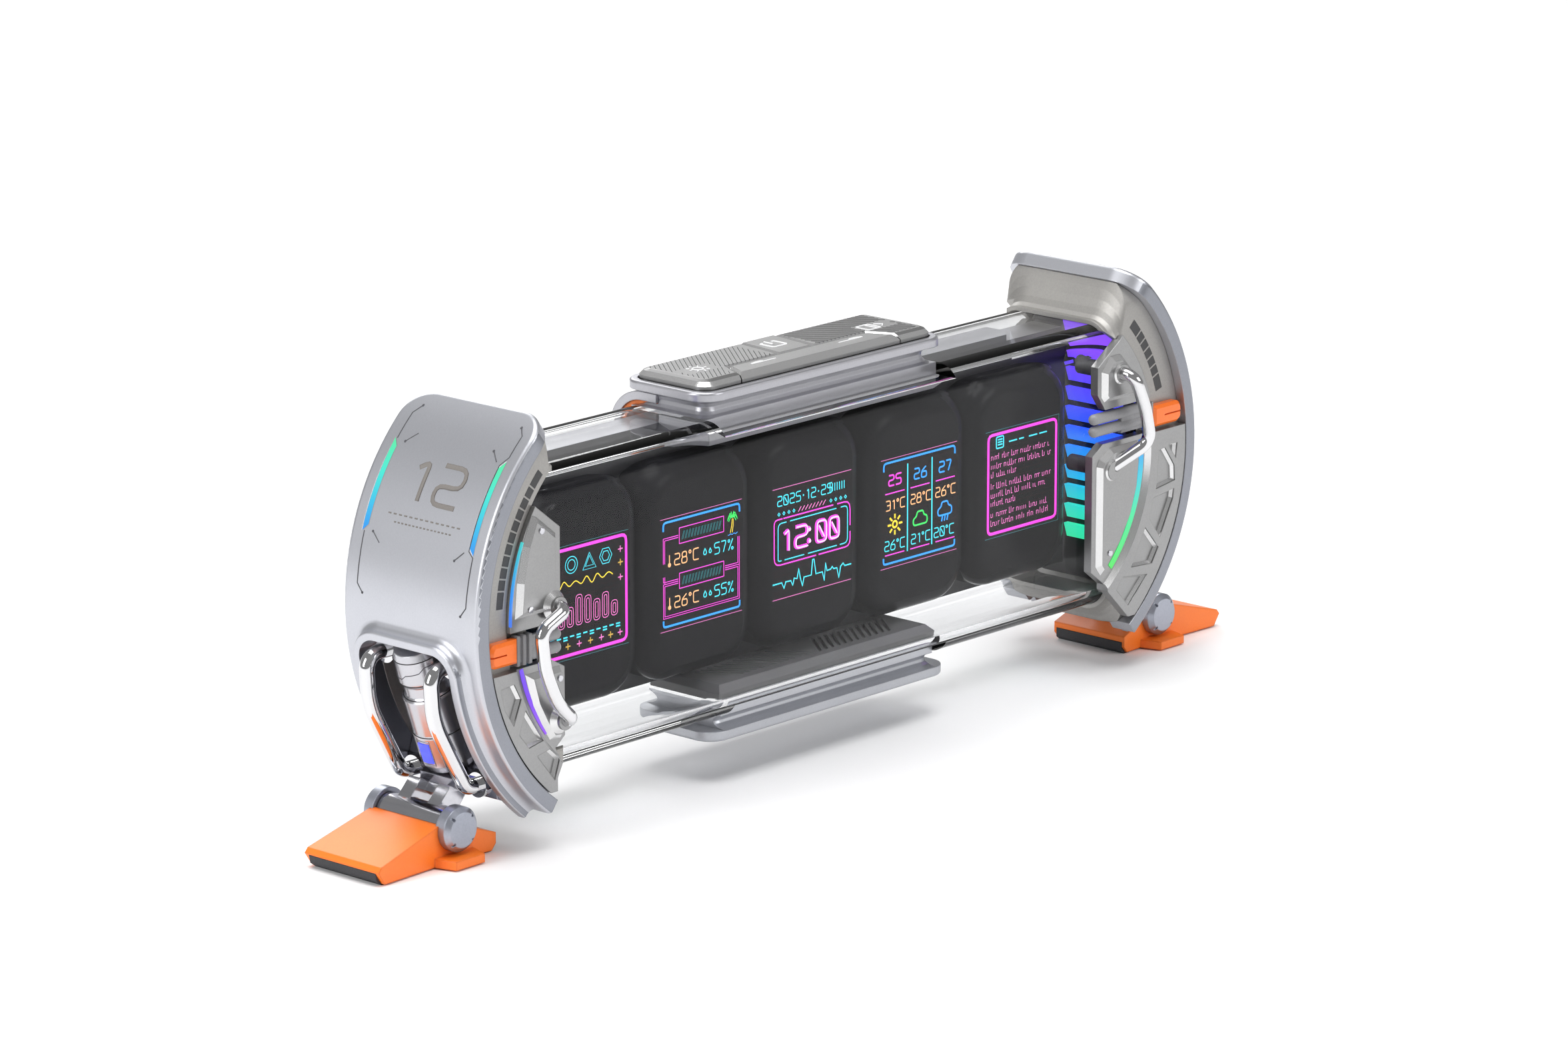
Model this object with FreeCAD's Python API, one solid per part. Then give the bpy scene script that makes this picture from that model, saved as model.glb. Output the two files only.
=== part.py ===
import FreeCAD, Part
import math
import os

# Digital desk clock: five small screens in a clear tube between two curved metal ends on hinged feet.
# Millimetres. +X runs to the right along the row of screens, +Y to the back, +Z up, and Z = 0 is the desk.

# row of screens
SCREEN_COUNT = 5
SCREEN_PITCH = 30.0
PANEL_WIDTH = 21.5
PANEL_HEIGHT = 21.0
PANEL_THICKNESS = 0.5
MODULE_GAP = 0.5
MODULE_HEIGHT = 41.0
MODULE_CORNER = 8.0
MODULE_EDGE = 3.9
SCREEN_Y = -4.4
DISPLAY_Z = 40.2

# clear tube
TUBE_DEPTH = 27.4
TUBE_HEIGHT = 55.3
TUBE_CORNER = 5.0
TUBE_WALL = 2.4
SEAT_SKIN = 0.8
FIT_GAP = 0.05

# curved end plates
END_LENGTH = 24.0
PLATE_RADIUS = 44.8
PLATE_THICKNESS = 3.0
PLATE_DEPTH = 33.2
PLATE_RISE = 10.9
PLATE_DROP = 6.0
PLATE_CORNER = 6.0
PLATE_EDGE = 0.8
PLATE_CURVE_RISE = 2.4

# raised hood round the lower recess of each end plate
HOOD_HEIGHT = 2.2
HOOD_LIP = 1.6
HOOD_BLEND = 1.7
HOOD_EDGE = 0.4
RECESS_HALF = 11.2
RECESS_CORNER = 4.0
RECESS_TOP = -1.9
RECESS_DEPTH = 13.5
RECESS_FLOOR = -30.4

# light bars in the end plates
BAR_REACH = 13.7
BAR_WIDTH = 1.2
BAR_START = 18.0
BAR_END = 40.5
BAR_SLANT = 1.2

# collars that hold the tube
COLLAR_LIP = 0.95
COLLAR_CORNER = 6.0
COLLAR_FLARE = 8.2
COLLAR_FLARE_LENGTH = 4.2
COLLAR_FLARE_BELOW = 0.62
COLLAR_LIP_END = 11.6
PAN_WALL = 1.6
PAN_CLEARANCE = 1.5
PAN_STEP_HEIGHT = 9.7
PAN_SLOPE_HEIGHT = 5.0

# stepped column in the recess: its steps are (share of the length from the top, radius)
COLUMN_BACK = 1.1
COLUMN_FOOT_BACK = 0.9
COLUMN_FOOT = 5.2
COLUMN_STEPS = [(0.0, 3.9), (0.05, 4.4), (0.23, 4.7), (0.25, 4.5), (0.27, 4.2), (0.345, 4.3), (0.375, 5.0),
                (0.65, 5.1), (0.67, 5.3), (0.91, 5.3), (0.97, 4.6), (1.0, 3.2)]

# cheek plates on the front and back of each end
CHEEK_THICKNESS = 0.9
PAD_HEIGHT = 1.0
PAD_BEVEL = 0.95
POCKET_DEPTH = 0.85
POCKET_SLOPE = 0.5
RIDGE_SLOPE = 0.8
LIGHT_STAND = 0.15
LIGHT_DEPTH = 0.35
VENT_GAP = 0.35
VENT_END = 1.7
CHEEK_GAP = 0.3
TAB_CORNER = 1.5
TAB_BEVEL = 0.6
TAB_LINE = 0.25

# bent chrome bars
CHEEK_BAR = 2.5
CHEEK_BAR_STAND = 4.2
STANDOFF_RADIUS = 1.6
OUTER_BAR = 2.8
OUTER_BAR_Y = 8.0
BOSS_MARGIN = 0.9
CHEEK_BOSS_MARGIN = 0.55
OUTER_BAR_BEND = 2.8
OUTER_BAR_SWEEP = 14.0
OUTER_BAR_TOE = 2.4
OUTER_BAR_KNEE = 9.0

# hinged feet
HINGE_INSET = 1.94
HINGE_HEIGHT = 6.46
PIN_RADIUS = 1.3
PIN_CLEARANCE = 0.05
BARREL_RADIUS = 3.3
CAP_RADIUS = 4.1
CAP_THICKNESS = 3.0
BARREL_LENGTH = 15.4
FOOT_GAP = 0.35
FOOT_IN = 9.9
FOOT_OUT = 18.6
FOOT_HALF_WIDTH = 9.3
FOOT_TIP_HEIGHT = 3.5
FOOT_FLANGE = 3.5
FOOT_FLANGE_HEIGHT = 1.6
FOOT_PAD = 2.2
FOOT_PAD_STAND = 0.3

# control unit on top
TOP_Y = 1.2
TRAY_LENGTH = 66.4
TRAY_DEPTH = 21.6
TRAY_CORNER = 4.6
TRAY_RIM = 1.7
TRAY_WALL = 1.5
NECK_HEIGHT = 3.4
NECK_INSET = 1.6
NECK_WAIST = 1.3
KEY_GAP = 0.3
KEY_STAND = 1.8
KEY_TRAVEL = 0.6
KEY_CHAMFER = 1.1
KEY_BEVEL = 0.5
KEY_WELL = 1.3
ROCKER_HALF = 18.8
ROCKER_DEPTH = 6.0
ROCKER_SLANT = 3.0
POWER_HALF = 4.7
POWER_SLANT = 1.6
POWER_OFFSET = -0.3

# base unit underneath
BASE_LENGTH = 66.2
BASE_DEPTH = 21.2
BASE_CORNER = 4.2
BASE_THICKNESS = 1.9
BASE_NECK = 2.9
BASE_INSET = 3.8
PLATE_STEP = 1.5
PLATE_BEVEL = 1.3
INNER_MARGIN = 0.5

# chassis behind the screens
BEAM_Y = 3.2
BEAM_DEPTH = 7.2
BEAM_WEB = 1.5
BEAM_CAP = 1.2
BEAM_CAP_SHORT = 7.5
BEAM_TOP_GAP = 1.5
BOARD_THICKNESS = 1.2
WALL_LIGHTS = 11
WALL_LIGHT_PITCH = 3.9
WALL_LIGHT_HEIGHT = 2.5

# clip behind the control unit
CLIP_THICKNESS = 1.6
CLIP_PAD = 1.0
CLIP_DROP = 6.4

# power inlet
SOCKET_LENGTH = 8.9
SOCKET_WIDTH = 3.2
SOCKET_DEPTH = 4.2
SOCKET_ANGLE = 20.0
SOCKET_MARGIN = 0.6
SOCKET_WALL = 0.3
SOCKET_SIDE = "right"

# derived places
row_length = SCREEN_COUNT * SCREEN_PITCH
mouth_x = row_length / 2.0
tube_z = DISPLAY_Z + 0.25
tube_top = tube_z + TUBE_HEIGHT / 2.0
tube_bottom = tube_z - TUBE_HEIGHT / 2.0
tube_front = TUBE_DEPTH / 2.0
flat_half = tube_front - TUBE_CORNER
bore_depth = TUBE_DEPTH - 2 * TUBE_WALL
bore_height = TUBE_HEIGHT - 2 * TUBE_WALL
curve_x = END_LENGTH - PLATE_RADIUS
tube_seat = END_LENGTH - RECESS_DEPTH - PAN_CLEARANCE
hinge_reach = END_LENGTH - HINGE_INSET
curve_z = DISPLAY_Z + PLATE_CURVE_RISE
plate_inner = PLATE_RADIUS - PLATE_THICKNESS
plate_top = tube_top + PLATE_RISE
plate_bottom = tube_bottom - PLATE_DROP
top_angle = math.degrees(math.asin((plate_top - curve_z) / PLATE_RADIUS))
bottom_angle = math.degrees(math.asin((curve_z - plate_bottom) / PLATE_RADIUS))
collar_face = tube_front + COLLAR_LIP
cheek_face = collar_face + CHEEK_THICKNESS
pad_face = cheek_face + PAD_HEIGHT
hinge_z = HINGE_HEIGHT

X = FreeCAD.Vector(1, 0, 0)
Y = FreeCAD.Vector(0, 1, 0)
Z = FreeCAD.Vector(0, 0, 1)
ORIGIN = FreeCAD.Vector(0, 0, 0)


def point(x, y, z):
    return FreeCAD.Vector(x, y, z)


def face_of(points):
    return Part.Face(Part.makePolygon(points + [points[0]]))


def slab_xz(outline, y_low, y_high):
    face = face_of([point(x, y_low, z) for x, z in outline])
    return face.extrude(point(0, y_high - y_low, 0))


def slab_xy(outline, z_low, z_high):
    face = face_of([point(x, y, z_low) for x, y in outline])
    return face.extrude(point(0, 0, z_high - z_low))


def slab_yz(outline, x_low, x_high):
    face = face_of([point(x_low, y, z) for y, z in outline])
    return face.extrude(point(x_high - x_low, 0, 0))


def box(x0, x1, y0, y1, z0, z1):
    return Part.makeBox(x1 - x0, y1 - y0, z1 - z0, point(x0, y0, z0))


def rounded_outline(half_u, half_v, radius):
    """The wire of a rounded rectangle in the XY plane round the origin."""
    u = half_u - radius
    v = half_v - radius
    diagonal = radius * math.sqrt(0.5)
    edges = []
    corners = [(u, v, 1, 1), (-u, v, -1, 1), (-u, -v, -1, -1), (u, -v, 1, -1)]
    for number, (cu, cv, su, sv) in enumerate(corners):
        side_u = point(cu + su * radius, cv, 0)
        side_v = point(cu, cv + sv * radius, 0)
        middle = point(cu + su * diagonal, cv + sv * diagonal, 0)
        first, last = (side_u, side_v) if su == sv else (side_v, side_u)
        arc = Part.Arc(first, middle, last).toShape()
        if edges:
            edges.append(Part.LineSegment(ends, first).toShape())
        else:
            start = first
        edges.append(arc)
        ends = last
    edges.append(Part.LineSegment(ends, start).toShape())
    return Part.Wire(edges)


def rounded_plate(half_x, half_y, radius, z_low, z_high, y_centre=0.0):
    body = box(-half_x, half_x, y_centre - half_y, y_centre + half_y, z_low, z_high)
    uprights = edges_where(body, lambda e: e.BoundBox.ZLength > (z_high - z_low) / 2.0)
    return body.makeFillet(radius, uprights)


def rounded_tunnel(depth, height, radius, x_low, x_high, z_centre):
    """A rounded bar along X with its section in YZ."""
    body = box(x_low, x_high, -depth / 2.0, depth / 2.0, z_centre - height / 2.0, z_centre + height / 2.0)
    lengths = edges_where(body, lambda e: e.BoundBox.XLength > (x_high - x_low) / 2.0)
    return body.makeFillet(radius, lengths)


def disc_y(radius, x, z, y_low, y_high):
    return Part.makeCylinder(radius, y_high - y_low, point(x, y_low, z), Y)


def on_curve(radius, angle):
    """A place (x, z) at an angle above the horizontal on a circle about the end plate's centre."""
    a = math.radians(angle)
    return curve_x + radius * math.cos(a), curve_z + radius * math.sin(a)


def band(r_low, r_high, a_low, a_high, y_low, y_high):
    """A curved strip that is concentric with the end plate."""
    def arc(radius, a, b):
        places = [on_curve(radius, t) for t in (a, (a + b) / 2.0, b)]
        return Part.Arc(*[point(x, y_low, z) for x, z in places]).toShape()

    outer = arc(r_high, a_low, a_high)
    inner = arc(r_low, a_high, a_low)
    side_a = Part.LineSegment(outer.valueAt(outer.LastParameter), inner.valueAt(inner.FirstParameter)).toShape()
    side_b = Part.LineSegment(inner.valueAt(inner.LastParameter), outer.valueAt(outer.FirstParameter)).toShape()
    face = Part.Face(Part.Wire([outer, side_a, inner, side_b]))
    return face.extrude(point(0, y_high - y_low, 0))


def bent_bar(places, radii, diameter):
    """A round bar through the places, with an arc of the given radius at each inner place."""
    points = [point(*place) for place in places]
    edges = []
    last = points[0]
    for index in range(1, len(points) - 1):
        corner = points[index]
        back = (points[index - 1] - corner).normalize()
        ahead = (points[index + 1] - corner).normalize()
        half_turn = back.getAngle(ahead) / 2.0
        reach = radii[index - 1] / math.tan(half_turn)
        centre_line = (back + ahead).normalize()
        middle = corner + centre_line * (radii[index - 1] / math.sin(half_turn) - radii[index - 1])
        enter = corner + back * reach
        leave = corner + ahead * reach
        edges.append(Part.LineSegment(last, enter).toShape())
        edges.append(Part.Arc(enter, middle, leave).toShape())
        last = leave
    edges.append(Part.LineSegment(last, points[-1]).toShape())
    path = Part.Wire(edges)
    section = Part.Wire(Part.makeCircle(diameter / 2.0, points[0], points[1] - points[0]))
    return path.makePipeShell([section], True, False)


def edges_where(shape, test):
    return [edge for edge in shape.Edges if test(edge)]


def fuse_all(shapes):
    result = shapes[0]
    for shape in shapes[1:]:
        result = result.fuse(shape)
    return result.removeSplitter()


def cut_all(shape, tools):
    for tool in tools:
        shape = shape.cut(tool)
    return shape


def at_end(shape, side):
    """Moves a piece made for the right end to its end; the left end is the right one turned round."""
    placed = shape.copy()
    placed.translate(point(mouth_x, 0, 0))
    if side == "left":
        placed.rotate(ORIGIN, Z, 180)
    return placed


def mirrored_end(shape, side):
    """Moves a piece made for the right end to its end; the left one is its mirror image."""
    placed = shape.copy()
    placed.translate(point(mouth_x, 0, 0))
    if side == "left":
        placed = placed.mirror(ORIGIN, X)
    return placed


def save(name, shapes):
    solids = []
    for shape in shapes if isinstance(shapes, list) else [shapes]:
        solids.extend(shape.Solids)
    result = solids[0] if len(solids) == 1 else Part.makeCompound(solids)
    result.exportStep("parts/" + name + ".step")
    valid = "" if result.isValid() else "  NOT VALID"
    print("%-26s %2d solid(s) %9.1f mm3%s" % (name, len(solids), result.Volume, valid))


# clear tube: a rounded rectangular extrusion whose top and bottom walls open for the two units
def top_neck_half():
    return TRAY_LENGTH / 2.0 - NECK_INSET


def base_neck_half():
    return BASE_LENGTH / 2.0 - BASE_INSET


def clear_tube():
    reach = mouth_x + tube_seat
    outside = rounded_tunnel(TUBE_DEPTH, TUBE_HEIGHT, TUBE_CORNER, -reach, reach, tube_z)
    inside = rounded_tunnel(bore_depth, bore_height, TUBE_CORNER - TUBE_WALL, -reach - 1, reach + 1, tube_z)
    top = top_neck_half() + FIT_GAP
    base = base_neck_half() + FIT_GAP
    back = neck_back() + FIT_GAP
    windows = [
        box(-top, top, -tube_front - 1, back, tube_top - TUBE_WALL, tube_top + 1),
        box(-base, base, -tube_front - 1, base_front() + FIT_GAP, tube_bottom - 1, tube_bottom + TUBE_WALL),
    ]
    tube = cut_all(outside.cut(inside), windows)
    for side in ("left", "right"):
        beyond = box(0, tube_seat + 1, -PLATE_DEPTH, PLATE_DEPTH, 0, plate_top).cut(seat_limit(FIT_GAP))
        tube = tube.cut(mirrored_end(beyond, side))
    return tube


# display modules: pillow-shaped dark glass blocks, each with a lit panel let into its face
def module_centres():
    return [(number - (SCREEN_COUNT - 1) / 2.0) * SCREEN_PITCH for number in range(SCREEN_COUNT)]


def display_module(x):
    half = (SCREEN_PITCH - MODULE_GAP) / 2.0
    wire = rounded_outline(half, MODULE_HEIGHT / 2.0, MODULE_CORNER)
    wire.rotate(ORIGIN, X, 90)
    wire.translate(point(0, BEAM_Y, DISPLAY_Z))
    body = Part.Face(wire).extrude(point(0, SCREEN_Y - BEAM_Y, 0))
    front = edges_where(body, lambda e: abs(e.BoundBox.YMax - SCREEN_Y) < 0.01 and e.BoundBox.YLength < 0.01)
    body = body.makeFillet(MODULE_EDGE, front)
    body = body.cut(display_panel(0))
    body.translate(point(x, 0, 0))
    return body


def display_panel(x):
    return box(x - PANEL_WIDTH / 2.0, x + PANEL_WIDTH / 2.0, SCREEN_Y, SCREEN_Y + PANEL_THICKNESS,
               DISPLAY_Z - PANEL_HEIGHT / 2.0, DISPLAY_Z + PANEL_HEIGHT / 2.0)


# chassis: a channel behind the screens with the main board in it and a pale cap on its top flange
def beam_reach():
    return mouth_x + tube_seat - 2 * BOARD_THICKNESS


def beam_top():
    return tube_top - TUBE_WALL - BEAM_TOP_GAP


def beam_bottom():
    return tube_bottom + TUBE_WALL + PLATE_STEP + PLATE_BEVEL


def chassis_beam():
    top = beam_top() - BEAM_CAP
    bottom = beam_bottom()
    reach = beam_reach()
    body = box(-reach, reach, BEAM_Y, BEAM_Y + BEAM_DEPTH, bottom, top)
    hollow = box(-reach - 1, reach + 1, BEAM_Y + BEAM_WEB, BEAM_Y + BEAM_DEPTH + 1,
                 bottom + BEAM_WEB, top - BEAM_WEB)
    return fuse_all([body.cut(hollow), beam_cap()])


def beam_cap():
    reach = mouth_x - BEAM_CAP_SHORT
    cap = box(-reach, reach, BEAM_Y, BEAM_Y + BEAM_DEPTH, beam_top() - BEAM_CAP, beam_top())
    ends = edges_where(cap, lambda e: e.BoundBox.ZLength > BEAM_CAP / 2.0 and e.BoundBox.YMin < BEAM_Y + 1)
    return cap.makeChamfer(BEAM_DEPTH / 3.0, ends)


def main_board():
    """A board on the channel's web, with its processor, memory, coil and connectors."""
    front = BEAM_Y + BEAM_WEB
    back = front + BOARD_THICKNESS
    half = mouth_x - SCREEN_PITCH
    middle = (beam_top() - BEAM_CAP + beam_bottom()) / 2.0
    half_height = (beam_top() - BEAM_CAP - beam_bottom()) / 2.0 - 2 * BEAM_WEB
    pieces = [box(-half, half, front, back, middle - half_height, middle + half_height)]
    chips = [(-0.6, 0.2, 6.0, 1.4), (-0.2, -0.3, 4.0, 1.0), (0.15, 0.3, 5.0, 1.2),
             (0.5, -0.2, 4.5, 2.6), (0.8, 0.35, 3.0, 2.2), (-0.85, -0.45, 3.0, 2.2)]
    for along, up, half_size, height in chips:
        x = along * (half - half_size)
        z = middle + up * half_height
        pieces.append(box(x - half_size, x + half_size, back, back + height, z - half_size, z + half_size))
    return fuse_all(pieces)


# end plates: thick curved covers with a hooded recess in the lower half
def plate_blank(r_low, r_high, margin):
    return band(r_low, r_high, -bottom_angle + margin, top_angle - margin,
                -PLATE_DEPTH / 2.0 + margin, PLATE_DEPTH / 2.0 - margin)


def recess_opening(grow):
    """The recess seen from outside: rounded at the top corners and open at the bottom."""
    half = RECESS_HALF + grow
    top = DISPLAY_Z + RECESS_TOP + grow
    radius = RECESS_CORNER + grow
    low = plate_bottom - 3 * radius
    return rounded_tunnel(2 * half, top - low, radius, 0, END_LENGTH + 2 * HOOD_HEIGHT, (top + low) / 2.0)


def end_plate():
    plate = plate_blank(plate_inner, PLATE_RADIUS, 0.0)
    corners = edges_where(plate, lambda e: e.BoundBox.YLength < 0.01 and e.Length < PLATE_THICKNESS * 1.01
                          and e.BoundBox.ZMin > curve_z)
    plate = plate.makeFillet(PLATE_CORNER, corners)
    rim = edges_where(plate, lambda e: all(
        abs(math.hypot(v.X - curve_x, v.Z - curve_z) - PLATE_RADIUS) < 0.01 for v in e.Vertexes))
    plate = plate.makeFillet(PLATE_EDGE, rim)
    plate = plate.fuse(hood())
    foot_of_hood = edges_where(plate, lambda e: on_hood(e, PLATE_RADIUS) and e.BoundBox.ZMax > plate_bottom + 2 * PLATE_EDGE
                               and e.BoundBox.ZLength + e.BoundBox.YLength > HOOD_BLEND)
    plate = plate.makeFillet(HOOD_BLEND, foot_of_hood)
    lip = edges_where(plate, lambda e: on_hood(e, PLATE_RADIUS + HOOD_HEIGHT) and e.BoundBox.ZMax > plate_bottom + 2 * PLATE_EDGE)
    plate = plate.makeFillet(HOOD_EDGE, lip)
    plate = plate.cut(recess_opening(0.0))
    for sign in (1, -1):
        plate = plate.cut(light_bar(sign))
    return plate.removeSplitter()


def hood():
    """The raised frame round the recess, with rounded top corners."""
    ring = band(plate_inner + PLATE_THICKNESS / 2.0, PLATE_RADIUS + HOOD_HEIGHT, -bottom_angle + 2, BAR_START,
                -2 * RECESS_HALF, 2 * RECESS_HALF)
    return ring.common(recess_opening(HOOD_LIP))


def on_hood(edge, radius):
    """Whether an edge runs round the hood at that distance from the curve's centre."""
    half = RECESS_HALF + HOOD_LIP + FIT_GAP
    return all(abs(math.hypot(v.X - curve_x, v.Z - curve_z) - radius) < 0.01 and abs(v.Y) < half
               and v.Z < DISPLAY_Z + HOOD_HEIGHT for v in edge.Vertexes)


def light_bar(sign):
    """A slim light guide near one edge of the plate, with slanted ends, flush with its outer face."""
    r_low = PLATE_RADIUS - PLATE_THICKNESS / 2.0
    outside = sign * BAR_REACH
    inside = sign * (BAR_REACH - BAR_WIDTH)
    strip = band(r_low, PLATE_RADIUS, BAR_START, BAR_END, min(outside, inside), max(outside, inside))
    z_low = on_curve(PLATE_RADIUS, BAR_START)[1]
    z_high = on_curve(PLATE_RADIUS, BAR_END)[1]
    far = 2 * PLATE_RADIUS
    for z, way in ((z_low, 1), (z_high, -1)):
        wedge = [(outside, z), (inside, z + way * BAR_SLANT), (inside, z - way * far), (outside, z - way * far)]
        strip = strip.cut(slab_yz(wedge, -far, far))
    return strip


# collars: castings that fill each end between the tube and the plate
def collar_section(x, rise):
    """A rounded rectangle across the collar; the top and bottom flare out towards the plate."""
    high = tube_top + COLLAR_LIP + rise
    low = tube_bottom - COLLAR_LIP - rise * COLLAR_FLARE_BELOW
    wire = rounded_outline((high - low) / 2.0, collar_face, COLLAR_CORNER)
    wire.rotate(ORIGIN, Y, -90)
    wire.translate(point(x, 0, (high + low) / 2.0))
    return wire


def collar():
    """The casting between the tube and the plate, with an arched window over the tube on each face."""
    shares = [(0.0, 0.0), (0.2, 0.01), (0.42, 0.08), (0.62, 0.22), (0.78, 0.42), (0.9, 0.68), (1.0, 1.0)]
    wires = [collar_section(COLLAR_FLARE_LENGTH * along, COLLAR_FLARE * rise) for along, rise in shares]
    wires.append(collar_section(END_LENGTH, COLLAR_FLARE))
    body = Part.makeLoft(wires, True, True)
    body = body.common(disc_y(plate_inner - FIT_GAP, curve_x, curve_z, -PLATE_DEPTH, PLATE_DEPTH))
    floor = box(-1, END_LENGTH + 1, -PLATE_DEPTH, PLATE_DEPTH, 0, plate_bottom + PLATE_EDGE)
    body = body.cut(floor)
    seat = rounded_tunnel(TUBE_DEPTH + 2 * FIT_GAP, TUBE_HEIGHT + 2 * FIT_GAP, TUBE_CORNER + FIT_GAP,
                          -1, tube_seat + FIT_GAP, tube_z)
    pocket = box(END_LENGTH - RECESS_DEPTH, END_LENGTH + 1, -RECESS_HALF, RECESS_HALF,
                 DISPLAY_Z + RECESS_FLOOR, DISPLAY_Z + RECESS_TOP)
    body = body.cut(seat.common(seat_limit(0.0))).cut(pocket)
    for face in (-1, 1):
        body = body.cut(window_disc(face, 0.0, tube_front + FIT_GAP))
        corner = window_disc(face, 0.0, COLLAR_LIP_END)
        edge = tube_top - TUBE_CORNER - 1
        body = body.cut(corner.common(box(-1, tube_seat, -PLATE_DEPTH, PLATE_DEPTH, edge, plate_top)))
        body = cut_all(body, vent_bars(face))
    return body


def seat_limit(gap):
    """The curve that the tube's end and its seat keep inside."""
    return disc_y(plate_inner - SEAT_SKIN - gap, curve_x, curve_z, -PLATE_DEPTH, PLATE_DEPTH)


def window_disc(face, gap, depth):
    """The arched window of one face, from the given depth outwards."""
    low, high = sorted((face * depth, face * PLATE_DEPTH))
    return disc_y(cheek_kind(face)["window"] - gap, curve_x, curve_z, low, high)


def recess_pan():
    """The back wall and floor of the recess, with the ledge that carries the foot's yoke."""
    back = END_LENGTH - RECESS_DEPTH
    front = back + PAN_WALL
    top = DISPLAY_Z + RECESS_TOP
    floor = DISPLAY_Z + RECESS_FLOOR
    ledge = hinge_reach - BARREL_RADIUS - 1.1
    outline = [(back, floor), (back, top), (front, top), (front, floor + PAN_STEP_HEIGHT), (front + PAN_CLEARANCE, floor + PAN_SLOPE_HEIGHT),
               (ledge, floor + 3.6), (ledge, floor + 2.0), (front + 0.6, floor)]
    pan = slab_xz(outline, -RECESS_HALF + FIT_GAP, RECESS_HALF - FIT_GAP)
    far = RECESS_HALF + 1
    tip = OUTER_BAR_Y - OUTER_BAR - BOSS_MARGIN
    for sign in (1, -1):
        corner = [(front + 1.5, sign * far), (ledge + 1, sign * far), (ledge + 1, sign * tip), (ledge - 1.5, sign * tip)]
        pan = pan.cut(slab_xy(corner, floor - 1, floor + 5.2))
    return pan


def plate_reach(z):
    """How far out the plate's outer face is at that height."""
    return curve_x + math.sqrt(PLATE_RADIUS ** 2 - (z - curve_z) ** 2)


def column():
    """The stepped cylinder that stands in the recess, leaning with the plate's curve."""
    top_z = DISPLAY_Z + RECESS_TOP
    foot_z = DISPLAY_Z + RECESS_FLOOR + COLUMN_FOOT
    top = point(plate_reach(top_z) - COLUMN_BACK, 0, top_z)
    foot = point(plate_reach(foot_z) - COLUMN_FOOT_BACK, 0, foot_z)
    axis = foot - top
    length = axis.Length
    profile = [point(0, 0, 0)]
    profile += [point(radius, 0, share * length) for share, radius in COLUMN_STEPS]
    profile.append(point(0, 0, length))
    solid = face_of(profile).revolve(ORIGIN, Z, 360)
    solid.Placement = FreeCAD.Placement(top, FreeCAD.Rotation(Z, axis))
    inside = box(END_LENGTH - RECESS_DEPTH + PAN_WALL, 2 * END_LENGTH, -RECESS_HALF, RECESS_HALF, 0, top_z)
    return solid.common(inside).cut(recess_pan())


def outer_bar(sign):
    """One bent grab bar over the recess, from its upper post round to the ledge."""
    y = sign * OUTER_BAR_Y
    top = DISPLAY_Z + RECESS_TOP - 2.6
    low = DISPLAY_Z + RECESS_FLOOR + 3.0
    stand = END_LENGTH + HOOD_HEIGHT
    seat = END_LENGTH - RECESS_DEPTH + PAN_WALL
    places = [(seat, y, top), (stand + 0.7, y, top), (stand + 0.2, y, top - OUTER_BAR_KNEE),
              (hinge_reach - 3.4, y, low), (seat + 1.5, y, low)]
    return bent_bar(places, [OUTER_BAR_BEND, OUTER_BAR_SWEEP, OUTER_BAR_TOE], OUTER_BAR).cut(recess_pan())


def outer_posts(sign):
    """The flanged bosses that the bar is set into."""
    y = sign * OUTER_BAR_Y
    seat = END_LENGTH - RECESS_DEPTH + PAN_WALL
    radius = OUTER_BAR / 2.0 + BOSS_MARGIN
    top = Part.makeCylinder(radius, END_LENGTH - 1.8 - seat, point(seat, y, DISPLAY_Z + RECESS_TOP - 2.6), X)
    low = Part.makeCylinder(radius, 3.0, point(seat + 0.8, y, DISPLAY_Z + RECESS_FLOOR + 3.0), X)
    return [top.cut(outer_bar(sign)), low.cut(outer_bar(sign)).cut(recess_pan())]


# hinge: the yoke and barrel are fixed, and the pin, caps and foot turn together
def yoke():
    half = BARREL_LENGTH / 2.0
    barrel = disc_y(BARREL_RADIUS, hinge_reach, hinge_z, -half, half)
    floor = DISPLAY_Z + RECESS_FLOOR
    outline = [(hinge_reach - 6.4, floor + 0.9), (hinge_reach - 2.6, floor + 3.0),
               (hinge_reach + 1.2, hinge_z + 2.4), (hinge_reach - 1.6, hinge_z - 1.4)]
    arms = []
    for y_low, y_high in ((-5.1, -2.2), (2.2, 5.1)):
        arms.append(slab_xz(outline, y_low, y_high))
    bridge = [(hinge_reach - 6.4, floor + 0.9), (hinge_reach - 4.4, floor + 2.0),
              (hinge_reach - 3.4, floor + 0.6), (hinge_reach - 5.0, floor - 0.6)]
    body = fuse_all([barrel, slab_xz(bridge, -5.1, 5.1)] + arms)
    bore = disc_y(PIN_RADIUS + PIN_CLEARANCE, hinge_reach, hinge_z, -half - 1, half + 1)
    return body.cut(bore).cut(recess_pan())


def hinge_pin():
    half = BARREL_LENGTH / 2.0 + FOOT_GAP / 2.0 + CAP_THICKNESS / 2.0
    return disc_y(PIN_RADIUS, hinge_reach, hinge_z, -half, half)


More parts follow.
